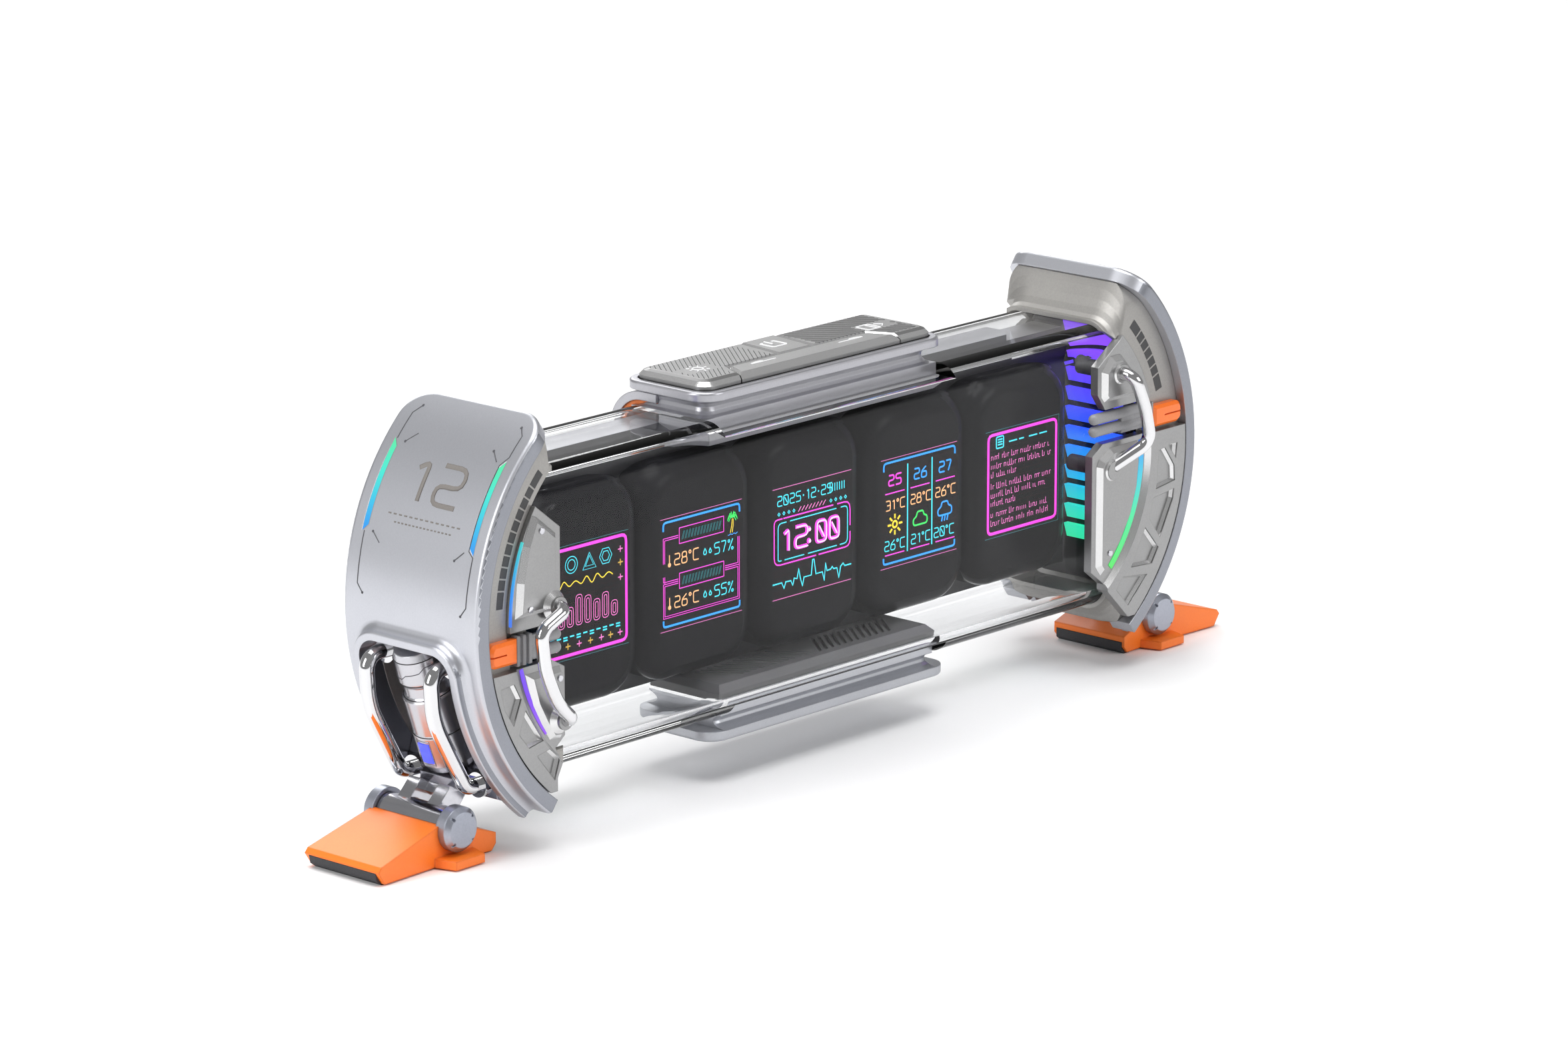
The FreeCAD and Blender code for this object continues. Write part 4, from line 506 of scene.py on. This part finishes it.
glyphCell = {"width": 4.0, "height": 6.0, "gap": 1.5, "bend": 1.3, "narrow": {"*": 1.8, ".": 2.0, "1": 3.0}}


def writeFigures(text, u, v, height, stretch=1.0):
    # numerals as tube lines; u, v is the lower left corner and height the full height, in mm
    scale = height / glyphCell["height"]
    lines = []
    for letter in text:
        for points, closed in glyphs[letter]:
            bent = roundCorners(points, glyphCell["bend"], closed) if len(points) < 8 else points
            lines.append(([(u + x * scale * stretch, v + y * scale) for x, y in bent], closed))
        u += (glyphCell["narrow"].get(letter, glyphCell["width"]) + glyphCell["gap"]) * scale * stretch
    return lines


def drawLines(name, lines, width, material, place, body="clock_body", sides=0):
    # lines of (points, closed) become one mesh of fine tubes; place turns (u, v) into a point in mm
    curve = bpy.data.curves.new(name, "CURVE")
    curve.dimensions = "3D"
    curve.bevel_depth = width / 2.0 * mm
    curve.bevel_resolution = sides
    curve.use_fill_caps = True
    for points, closed in lines:
        spline = curve.splines.new("POLY")
        spline.points.add(len(points) - 1)
        for number, spot in enumerate(points):
            x, y, z = place(*spot)
            spline.points[number].co = (x * mm, y * mm, z * mm, 1)
        spline.use_cyclic_u = closed
    piece = bpy.data.objects.new(name, curve)
    bpy.context.scene.collection.objects.link(piece)
    pick(piece)
    bpy.ops.object.convert(target="MESH")
    return settle(bpy.context.object, material, body)


def onScreen(number, lift):
    centre = (number - 3) * clock["screenPitch"]
    return lambda u, v: (centre + u, clock["screenY"] - lift, clock["screenZ"] + v)


# screen drawings are written on a grid whose y goes down
grid = {"perMm": 26.0, "midX": 376, "midY": 541}


def px(*spots):
    return [((a - grid["midX"]) / grid["perMm"], (grid["midY"] - b) / grid["perMm"]) for a, b in spots]


def rim(left, top, right, bottom, radius):
    return (roundCorners(px((left, top), (right, top), (right, bottom), (left, bottom)), radius, True), True)


def brackets():
    return [(roundCorners(px((115, 325), (115, 285), (642, 285), (642, 325)), 1.1), False),
            (roundCorners(px((115, 760), (115, 791), (642, 791), (642, 760)), 1.1), False)]


def borderLines():
    return [(px((95, 267), (657, 267)), False), (px((95, 813), (657, 813)), False)]


def star(x, y, size):
    return [(px((x - size, y), (x, y), (x + size, y)), False), (px((x, y - size), (x, y), (x, y + size)), False)]


def figuresAt(text, x, y, height, stretch=1.0):
    # x, y and height in grid units, from the lower left corner
    (u, v), = px((x, y))
    return writeFigures(text, u, v, height / grid["perMm"], stretch)


tick = {"step": 14, "low": 0.62, "bar": 0.6, "barLength": 9, "factor": 73, "shift": 41, "modulus": 1009}


def nextState(state):
    return (state * tick["factor"] + tick["shift"]) % tick["modulus"]


def tickWords(rows, x, rowHeight, seed):
    # short upright strokes in word-like groups stand in for lines of text
    lines = []
    state = seed
    for y, end in rows:
        at = x
        while at < end:
            state = nextState(state)
            for _ in range(2 + state % 6):
                state = nextState(state)
                tall = 1.0 if state % 4 == 0 else tick["low"]
                lines.append((px((at, y), (at, y - rowHeight * tall)), False))
                if state % 3:
                    level = y - (rowHeight * tick["bar"] if state % 2 else 0)
                    lines.append((px((at, level), (at + tick["barLength"], level)), False))
                at += tick["step"]
                if at > end:
                    break
            at += tick["step"]
    return lines


screenDrawings = []
square = ((-1, -1), (1, -1), (1, 1), (-1, 1))


def addDrawing(number, part, lines, width, color, lift=0.02):
    name = "screen%d%s" % (number, part)
    screenDrawings.append(drawLines(name, lines, width, neon[color], onScreen(number, lift)))


def neonFrame(number, line, width):
    # a wide tube with a pale thin one standing in front of it
    addDrawing(number, "Frame", [line], width, "magenta")
    addDrawing(number, "FrameCore", [line], 0.2, "pinkCore", 0.2)


def drawScreenOne():
    addDrawing(1, "Border", borderLines(), 0.10, "teal")
    neonFrame(1, rim(112, 286, 643, 793, 1.2), 0.62)
    shapes = []
    for size in (1.0, 0.62):
        corners = [(-8.4 + 1.45 * a * size, 6.8 + 1.45 * b * size) for a, b in square]
        shapes.append((roundCorners(corners, 0.3, True), True))
        shapes.append((ring(-3.8, 6.8, 1.55 * size, 20), True))
        triangle = [(0.8 + 1.7 * a * size, 6.75 + 1.5 * b * size) for a, b in ((-1, -1), (1, -1), (0, 1))]
        shapes.append((triangle, True))
        shapes.append((ring(5.0, 6.8, 1.6 * size, 6), True))
    addDrawing(1, "Shapes", shapes, 0.17, "cyan")
    wave = [(-9.2 + t * 0.28, 3.35 + 0.75 * math.sin(t * 0.62) * (0.7 + 0.3 * math.sin(t * 0.21))) for t in range(58)]
    addDrawing(1, "Wave", [(wave, False)], 0.2, "yellow")
    bars = []
    for index, level in enumerate((0.55, 0.8, 0.65, 1.0, 0.9, 0.7, 0.85, 0.5)):
        left = 128 + index * 59
        bars.append(rim(left, 660 - 145 * level, left + 42, 660, 0.7))
        bars.append(rim(left + 12, 660 - 145 * level + 14, left + 30, 648, 0.32))
    addDrawing(1, "Bars", bars, 0.15, "pink")
    dashes = [(px((a, 705), (a + 26, 705)), False) for a in range(132, 590, 44)]
    dashes += [(px((a, 718), (a + 26, 718)), False) for a in range(132, 590, 88)]
    addDrawing(1, "Dashes", dashes, 0.3, "cyan")
    starSpots = ((604, 350), (604, 414), (604, 485), (599, 750), (535, 750), (473, 750), (400, 750), (325, 750),
                 (250, 750), (175, 750))
    goldStars = (1, 4, 6, 8)
    pink, gold = [], []
    for index, (a, b) in enumerate(starSpots):
        (gold if index in goldStars else pink).extend(star(a, b, 15))
    addDrawing(1, "StarsPink", pink, 0.22, "pink")
    addDrawing(1, "StarsGold", gold, 0.26, "gold")


def thermometer(x, y):
    (u, v), = px((x, y))
    return [([(u, v - 0.5), (u, v + 1.1)], False), (ring(u, v - 0.75, 0.3, 10), True),
            (ring(u, v - 0.75, 0.12, 8), True)]


def drop(x, y, size):
    (u, v), = px((x, y))
    tip = [(u, v + 1.25 * size)]
    bowl = [(u + size * 0.72 * math.sin(t), v - 0.2 * size - size * 0.72 * math.cos(t)) for t in
            [math.radians(d) for d in (115, 80, 45, 0, -45, -80, -115)]]
    return [(tip + bowl, True)]


def drawScreenTwo():
    addDrawing(2, "Border", borderLines(), 0.10, "pink")
    addDrawing(2, "Brackets", brackets(), 0.42, "blue")
    lattice = [rim(225, 327, 532, 403, 0.06), rim(225, 547, 532, 621, 0.06)]
    for shift in (0, 10):
        lattice.append((px((216, 361 + shift), (115 + shift, 361 + shift), (115 + shift, 484)), False))
        lattice.append((px((216, 573 + shift), (115 + shift, 573 + shift), (115 + shift, 548)), False))
        lattice.append((px((630 + shift, 445), (630 + shift, 573 + shift), (542, 573 + shift)), False))
        lattice.append((px((216, 583 + shift), (115 + shift, 583 + shift), (115 + shift, 750 - shift),
                           (640 - shift, 750 - shift), (640 - shift, 583 + shift), (542, 583 + shift)), False))
    addDrawing(2, "Frame", lattice, 0.17, "magenta")
    hatch = []
    for top in (345, 565):
        for index in range(13):
            left = 243 + index * 21
            hatch.append((px((left, top + 40), (left + 13, top)), False))
            hatch.append((px((left + 7, top + 40), (left + 20, top)), False))
    addDrawing(2, "Hatch", hatch, 0.14, "teal")
    warm = thermometer(157, 475) + thermometer(157, 682)
    cool = drop(402, 478, 0.55) + drop(438, 478, 0.42) + drop(402, 685, 0.55) + drop(438, 685, 0.42)
    warm += figuresAt("28*C", 192, 502, 54) + figuresAt("26*C", 192, 709, 54)
    cool += figuresAt("57%", 468, 502, 54, 0.95) + figuresAt("55%", 468, 709, 54, 0.95)
    addDrawing(2, "Warm", warm, 0.24, "amber")
    addDrawing(2, "Cool", cool, 0.24, "cyan")
    leaves = []
    for turn, reach in ((170, 34), (145, 38), (115, 34), (60, 34), (35, 40), (8, 36), (-15, 26), (195, 26)):
        a = math.radians(turn)
        mid = (592 + 0.55 * reach * math.cos(a), 344 - 0.75 * reach * math.sin(a) - 5)
        tip = (592 + reach * math.cos(a), 350 - 0.45 * reach * math.sin(a) + 9)
        leaves.append((px((592, 344), mid, tip), False))
    addDrawing(2, "Leaves", leaves, 0.2, "green")
    trunk = [(px((592, 350), (588, 380), (578, 418)), False), (px((598, 352), (598, 385), (592, 418)), False)]
    addDrawing(2, "Trunk", trunk, 0.16, "yellow")
    water = [(px(*[(562 + 6 * n, 426 + 3 * math.sin(n * 1.6)) for n in range(12)]), False)]
    addDrawing(2, "Water", water, 0.14, "blue")


def drawScreenThree():
    addDrawing(3, "Border", borderLines(), 0.12, "pink")
    figures = figuresAt("2025.12.25", 130, 354, 48)
    marks = []
    for index in range(7):
        (u, v), = px((505 + index * 17, 330))
        marks.append(([(u, v - 0.75), (u, v + 0.75)] if index else [(u, v - 0.9), (u, v + 0.9)], False))
    for left in (140, 175, 211, 246, 511, 546, 582, 616):
        (u, v), = px((left, 394))
        marks.append((ring(u, v, 0.3, 4), True))
    addDrawing(3, "Date", figures + marks, 0.24, "cyan")
    slashes = [(px((278 + 25 * n, 405), (298 + 25 * n, 383)), False) for n in range(8)]
    addDrawing(3, "Slashes", slashes, 0.2, "pink")
    outer = [
        (roundCorners(px((170, 419), (157, 419), (106, 419), (106, 645), (403, 645)), 1.6)[1:], False),
        (px((172, 419), (527, 419)), False),
        (roundCorners(px((557, 419), (650, 419), (650, 542)), 1.6), False),
        (roundCorners(px((650, 572), (650, 645), (423, 645)), 1.6), False),
    ]
    inner = [
        (roundCorners(px((192, 440), (134, 440), (134, 625), (157, 625)), 1.0), False),
        (px((219, 440), (549, 440)), False), (px((180, 625), (318, 625)), False), (px((347, 625), (553, 625)), False),
        (roundCorners(px((583, 440), (631, 440), (631, 625), (577, 625)), 1.0), False),
    ]
    addDrawing(3, "OuterFrame", outer, 0.28, "magenta")
    addDrawing(3, "InnerFrame", inner, 0.24, "cyan")
    hour = figuresAt("12", 158, 582, 104, 1.22) + [(ring(*px((352, 505))[0], 0.2, 8), True),
                                                 (ring(*px((352, 563))[0], 0.2, 8), True)]
    hour += figuresAt("00", 405, 582, 104, 0.96)
    addDrawing(3, "Hour", hour, 0.75, "magenta")
    addDrawing(3, "HourCore", hour, 0.34, "pinkCore", 0.3)
    beat = px((95, 735), (160, 735), (175, 765), (188, 735), (225, 737), (237, 762), (248, 728), (268, 735),
              (280, 688), (292, 735), (306, 778), (318, 737), (370, 737), (380, 662), (390, 662), (404, 737),
              (450, 737), (463, 782), (472, 697), (484, 737), (510, 735), (522, 724), (532, 737), (555, 737),
              (568, 788), (582, 735), (600, 722), (612, 737), (657, 737))
    addDrawing(3, "Pulse", [(beat, False)], 0.3, "cyan")


def sunLines(u, v, radius, sides, rays):
    # a disc's outline with eight rays, each from the first to the second distance in rays
    lines = [(ring(u, v, radius, sides), True)]
    for turn in range(8):
        a = math.radians(45 * turn)
        lines.append(([(u + reach * math.cos(a), v + reach * math.sin(a)) for reach in rays], False))
    return lines


def cloud(x, y, size):
    (u, v), = px((x, y))
    shape = [(-2.0, -1.2), (-2.1, 0.1), (-1.1, 0.5), (-0.9, 1.5), (0.9, 1.5), (1.1, 0.6), (2.1, 0.3), (2.1, -1.2)]
    return [(roundCorners([(u + a * size, v + b * size) for a, b in shape], 0.6, True), True)]


def drawScreenFour():
    addDrawing(4, "Border", borderLines(), 0.10, "pink")
    addDrawing(4, "Brackets", brackets(), 0.42, "blue")
    addDrawing(4, "Columns", [(px((291, 313), (291, 753)), False), (px((472, 313), (472, 753)), False)], 0.34, "cyan")
    rules = [(px((a, b), (a + 140, b)), False) for b in (440, 748) for a in (127, 313, 501)]
    addDrawing(4, "Rules", rules, 0.24, "magenta")
    addDrawing(4, "DayOne", figuresAt("25", 152, 402, 52, 1.1), 0.34, "magenta")
    addDrawing(4, "DayTwo", figuresAt("26", 340, 402, 52, 1.1) + figuresAt("27", 525, 402, 52, 1.1), 0.34, "blue")
    warm = figuresAt("31*C", 132, 524, 48) + figuresAt("28*C", 316, 524, 48) + figuresAt("26*C", 500, 524, 48)
    addDrawing(4, "Warm", warm, 0.24, "amber")
    cool = figuresAt("26*C", 124, 726, 48) + figuresAt("21*C", 320, 726, 48) + figuresAt("20*C", 490, 726, 48)
    addDrawing(4, "Cool", cool, 0.24, "cyan")
    (u, v), = px((198, 600))
    addDrawing(4, "Sun", sunLines(u, v, 0.62, 14, (1.15, 2.0)), 0.42, "yellow")
    addDrawing(4, "Cloud", cloud(385, 606, 0.95), 0.36, "green")
    rain = cloud(568, 592, 0.95)
    rain += [(px((a, 625), (a - 7, 652)), False) for a in (552, 572, 592)]
    addDrawing(4, "Rain", rain, 0.34, "blue")


def drawScreenFive():
    edge = [(px((95, 267), (655, 267), (655, 812), (95, 812)), False)]
    addDrawing(5, "Border", edge, 0.12, "teal")
    neonFrame(5, rim(115, 287, 635, 790, 1.1), 0.6)
    head = [rim(176, 302, 230, 360, 0.3)]
    head += [(px((188, b), (220, b)), False) for b in (317, 330, 343)]
    head += [(px((a, 340), (a + w, 340)), False) for a, w in ((272, 60), (350, 34), (425, 62), (505, 56))]
    addDrawing(5, "Heading", head, 0.3, "cyan")
    rows = ((414, 575), (460, 600), (503, 320), (562, 610), (607, 545), (650, 330), (705, 565), (750, 592))
    addDrawing(5, "Rows", tickWords(rows, 138, 30, 17), 0.13, "pink")


for draw in (drawScreenOne, drawScreenTwo, drawScreenThree, drawScreenFour, drawScreenFive):
    draw()
print("screens", len(screenDrawings), "drawings")

# plate lines, with y and z in mm; each dash row has its height, start, end and step
plateMarks = {
    "lineWidth": 0.26, "lineLift": -0.04, "dotRadius": 0.12, "dotWidth": 0.3, "dotLift": -0.02,
    "numeralWidth": 1.15, "numeralHeight": 6.2, "numeralLow": 63.0, "numeralStart": 0.9, "numeralStretch": 1.42,
    "numeralY": 7.0, "dashWidth": 0.34, "dashShare": 0.55,
    "dashRows": ((60.3, 8.5, -9.2, 1.3), (59.0, 6.6, -7.2, 0.9)),
    "printStand": 0.03, "printDepth": 0.2, "perMm": 18.0, "gridY": 16.6, "gridZ": 79.0,
}


def onPlate(side, lift):
    def place(y, z):
        x = clock["plateX"] + math.sqrt((clock["plateRadius"] + lift) ** 2 - (z - clock["plateZ"]) ** 2)
        return (-x, y, z) if side == "left" else (x, -y, z)
    return place


def fine(points, step=0.8):
    out = [points[0]]
    for a, b in zip(points, points[1:]):
        count = max(1, int(math.dist(a, b) / step))
        out += [(a[0] + (b[0] - a[0]) * n / count, a[1] + (b[1] - a[1]) * n / count) for n in range(1, count + 1)]
    return out


def platePx(*spots):
    return [(plateMarks["gridY"] - a / plateMarks["perMm"], plateMarks["gridZ"] - b / plateMarks["perMm"])
            for a, b in spots]


def drawPlate(side):
    lines = [
        platePx((85, 40), (62, 62), (61, 133)), platePx((62, 405), (62, 570), (86, 597)),
        platePx((100, 137), (136, 110)), platePx((100, 402), (136, 432)),
        platePx((523, 42), (547, 62), (546, 120), (524, 145), (524, 395), (546, 412), (545, 568), (523, 597)),
        platePx((472, 112), (505, 138)), platePx((470, 432), (505, 402)),
    ]
    drawLines(side + "PlateGrooves", [(fine(line), False) for line in lines], plateMarks["lineWidth"], engraving,
              onPlate(side, plateMarks["lineLift"]), sides=1)
    tips = platePx((85, 40), (100, 137), (100, 402), (86, 597), (523, 42), (523, 597), (472, 112), (470, 432))
    drawLines(side + "PlateDots", [(ring(*spot, plateMarks["dotRadius"], 8), True) for spot in tips],
              plateMarks["dotWidth"], engraving, onPlate(side, plateMarks["dotLift"]), sides=1)


def flushWithPlate(piece, side):
    # the print's outer half is pressed flat, level with the plate's outer face
    sign = -1 if side == "left" else 1
    for vertex in piece.data.vertices:
        x, z = sign * vertex.co.x / mm - clock["plateX"], vertex.co.z / mm - clock["plateZ"]
        radius = math.hypot(x, z)
        outside = radius > clock["plateRadius"]
        level = clock["plateRadius"] + (plateMarks["printStand"] if outside else -plateMarks["printDepth"])
        vertex.co.x = sign * (clock["plateX"] + x * level / radius) * mm
        vertex.co.z = (clock["plateZ"] + z * level / radius) * mm


def drawPrint(side):
    figures = writeFigures("12", plateMarks["numeralStart"], 0, plateMarks["numeralHeight"],
                           plateMarks["numeralStretch"])
    numeral = [(fine([(plateMarks["numeralY"] - u, plateMarks["numeralLow"] + v) for u, v in line]), closed)
               for line, closed in figures]
    dashes = []
    for height, start, end, step in plateMarks["dashRows"]:
        at = start
        while at > end:
            dashes.append(([(at, height), (at - step * plateMarks["dashShare"], height)], False))
            at -= step
    for name, lines, width in (("PlateNumeral", numeral, plateMarks["numeralWidth"]),
                               ("PlateDashes", dashes, plateMarks["dashWidth"])):
        piece = drawLines(side + name, lines, width, printGrey, onPlate(side, 0.0), sides=1)
        flushWithPlate(piece, side)


for side in ("left", "right"):
    drawPlate(side)
    drawPrint(side)
print("plate lines")

# keys: pictograms, slanted grooves and two arrow marks, on the keys' tops
keyTop = max(vertex.co.z for vertex in nodes["light_key"].data.vertices) / mm
keyMarks = {"top": keyTop, "centreY": 1.2, "markWidth": 0.34, "grooveWidth": 0.16, "grooveSlant": 0.82,
            "grooveStep": 1.1, "grooveStart": -38, "grooveCount": 40, "back": 7.6, "front": -7.4}


def onKeys(u, v):
    return (u, keyMarks["centreY"] + v, keyMarks["top"])


def clipLine(u, keep):
    # a slanted groove from the front to the back of a key, kept only where the test is true
    levels = [keyMarks["front"] + (keyMarks["back"] - keyMarks["front"]) * n / 40.0 for n in range(41)]
    spots = [(u + v * keyMarks["grooveSlant"], v) for v in levels]
    runs, run = [], []
    for spot in spots:
        if keep(*spot):
            run.append(spot)
        elif run:
            runs.append(run)
            run = []
    if run:
        runs.append(run)
    return [([run[0], run[-1]], False) for run in runs if len(run) > 2]


def insideLight(u, v):
    # the light key's top without its round mark and without the rocker's slanted place
    slant = -18.8 - 3.0 * max(0.0, (-3.6 - v) / 6.0) - 1.2
    onMark = -28.6 < u < -20.2 and -2.6 < v < 1.4
    onKey = -29.4 < u < (-6.4 if v > -3.0 else slant) and keyMarks["front"] < v < keyMarks["back"]
    besideRocker = v > -2.9 or u < -20.4 + (v + 3) * 0.5
    return onKey and besideRocker and not onMark


def keyLines(key, name, lines, printed=True, thick=1.0):
    width = keyMarks["markWidth"] * thick if printed else keyMarks["grooveWidth"]
    drawLines(name, lines, width, printWhite if printed else groove, onKeys, key + "_key_body",
              1)


def drawKeys():
    grooves = []
    for index in range(keyMarks["grooveCount"]):
        grooves += clipLine(keyMarks["grooveStart"] + index * keyMarks["grooveStep"], insideLight)
    keyLines("light", "lightKeyGrooves", grooves, printed=False)
    mirrored = [([(-u - 0.4, v) for u, v in line], closed) for line, closed in grooves]
    keyLines("mode", "modeKeyGrooves", mirrored, printed=False)
    keyLines("light", "lightKeyMark", sunLines(-24.4, -0.6, 1.05, 16, (1.55, 2.2)))
    power = [(roundCorners([(-1.4, 4.5), (-2.2, 4.5), (-2.2, 1.0), (1.6, 1.0), (1.6, 4.5), (0.8, 4.5)], 0.5), False),
             ([(-0.3, 5.2), (-0.3, 2.9)], False)]
    keyLines("power", "powerKeyMark", power, thick=1.2)
    mode = [(roundCorners([(22.0 + a * 1.7, -0.8 + b * 1.7) for a, b in square], 0.4, True), True),
            ([(22.7, -2.5), (22.7, 0.9)], False), ([(24.6, -1.9), (26.0, -0.8), (24.6, 0.3)], False)]
    keyLines("mode", "modeKeyMark", mode)
    arrows = []
    for sign in (-1, 1):
        for line in ([(15.2, -5.3), (8.6, -5.3)], [(15.2, -5.15), (13.6, -4.75), (12.2, -4.75), (11.8, -5.1)]):
            arrows.append(([(sign * u, v) for u, v in line], False))
    keyLines("rocker", "rockerKeyMarks", arrows)


drawKeys()
print("key marks")

# columns: dark gaps round the stepped cylinder, an engraved band and a small lit window
# places along a column are shares of its length from the top, turns are in degrees from straight outwards
column = {
    "top": (22.69, 38.3), "foot": (13.59, 15.0), "inner": 75.0,
    "radii": [(0.0, 3.9), (0.05, 4.4), (0.23, 4.7), (0.25, 4.5), (0.27, 4.2), (0.345, 4.3), (0.375, 5.0), (0.65, 5.1),
              (0.67, 5.3), (0.91, 5.3), (0.97, 4.6), (1.0, 3.2)],
    "rings": (0.052, 0.24, 0.36, 0.66), "ringTurn": 100, "ringWidth": 0.22,
    "groove": [(100, 0.185), (10, 0.185), (-5, 0.15), (-40, 0.135), (-55, 0.10), (-100, 0.10)], "grooveWidth": 0.16,
    "window": [(-14, 0.71), (0, 0.71), (14, 0.71), (14, 0.78), (14, 0.87), (0, 0.87), (-14, 0.87), (-14, 0.78)],
    "windowLift": 0.02, "windowThickness": 0.35,
    "frame": [(-16, 0.69), (16, 0.69), (16, 0.89), (-16, 0.89), (-16, 0.69)], "frameWidth": 0.24,
}


def columnRadius(share):
    steps = column["radii"]
    for (a, low), (b, high) in zip(steps, steps[1:]):
        if share <= b:
            return low + (high - low) * (share - a) / (b - a)
    return steps[-1][1]


def onColumn(side, turn, share, lift=0.0):
    along = Vector((column["foot"][0] - column["top"][0], 0, column["foot"][1] - column["top"][1]))
    outward = Vector((-along.z, 0, along.x)).normalized()
    radius = columnRadius(share) + lift
    angle = math.radians(turn)
    spot = Vector((column["inner"] + column["top"][0], 0, column["top"][1])) + along * share
    spot += outward * radius * math.cos(angle) + Vector((0, 1, 0)) * radius * math.sin(angle)
    return (-spot.x, spot.y, spot.z) if side == "left" else (spot.x, -spot.y, spot.z)


def columnLine(side, name, steps, width, material):
    turned = [steps[0]]
    for (a, b), (c, d) in zip(steps, steps[1:]):
        count = max(1, int(math.radians(abs(c - a)) / math.radians(6)))
        turned += [(a + (c - a) * n / count, b + (d - b) * n / count) for n in range(1, count + 1)]
    return drawLines(side + name, [(turned, False)], width, material,
                     lambda turn, share: onColumn(side, turn, share), sides=1)


def drawColumn(side):
    for index, share in enumerate(column["rings"]):
        columnLine(side, "ColumnRing%d" % index, [(-column["ringTurn"], share), (column["ringTurn"], share)],
                   column["ringWidth"], darkMetal)
    columnLine(side, "ColumnGroove", column["groove"], column["grooveWidth"], engraving)
    spots = [onColumn(side, turn, share, column["windowLift"]) for turn, share in column["window"]]
    mesh = bpy.data.meshes.new(side + "ColumnWindow")
    mesh.from_pydata([tuple(c * mm for c in spot) for spot in spots], [], [tuple(range(len(spots)))])
    piece = bpy.data.objects.new(side + "ColumnWindow", mesh)
    bpy.context.scene.collection.objects.link(piece)
    pick(piece)
    solid = piece.modifiers.new("thick", "SOLIDIFY")
    solid.thickness = column["windowThickness"] * mm
    solid.offset = 0.0
    bpy.ops.object.modifier_apply(modifier="thick")
    settle(piece, columnWindow)
    columnLine(side, "ColumnWindowFrame", column["frame"], column["frameWidth"], columnMetal)


for side in ("left", "right"):
    drawColumn(side)
print("columns")
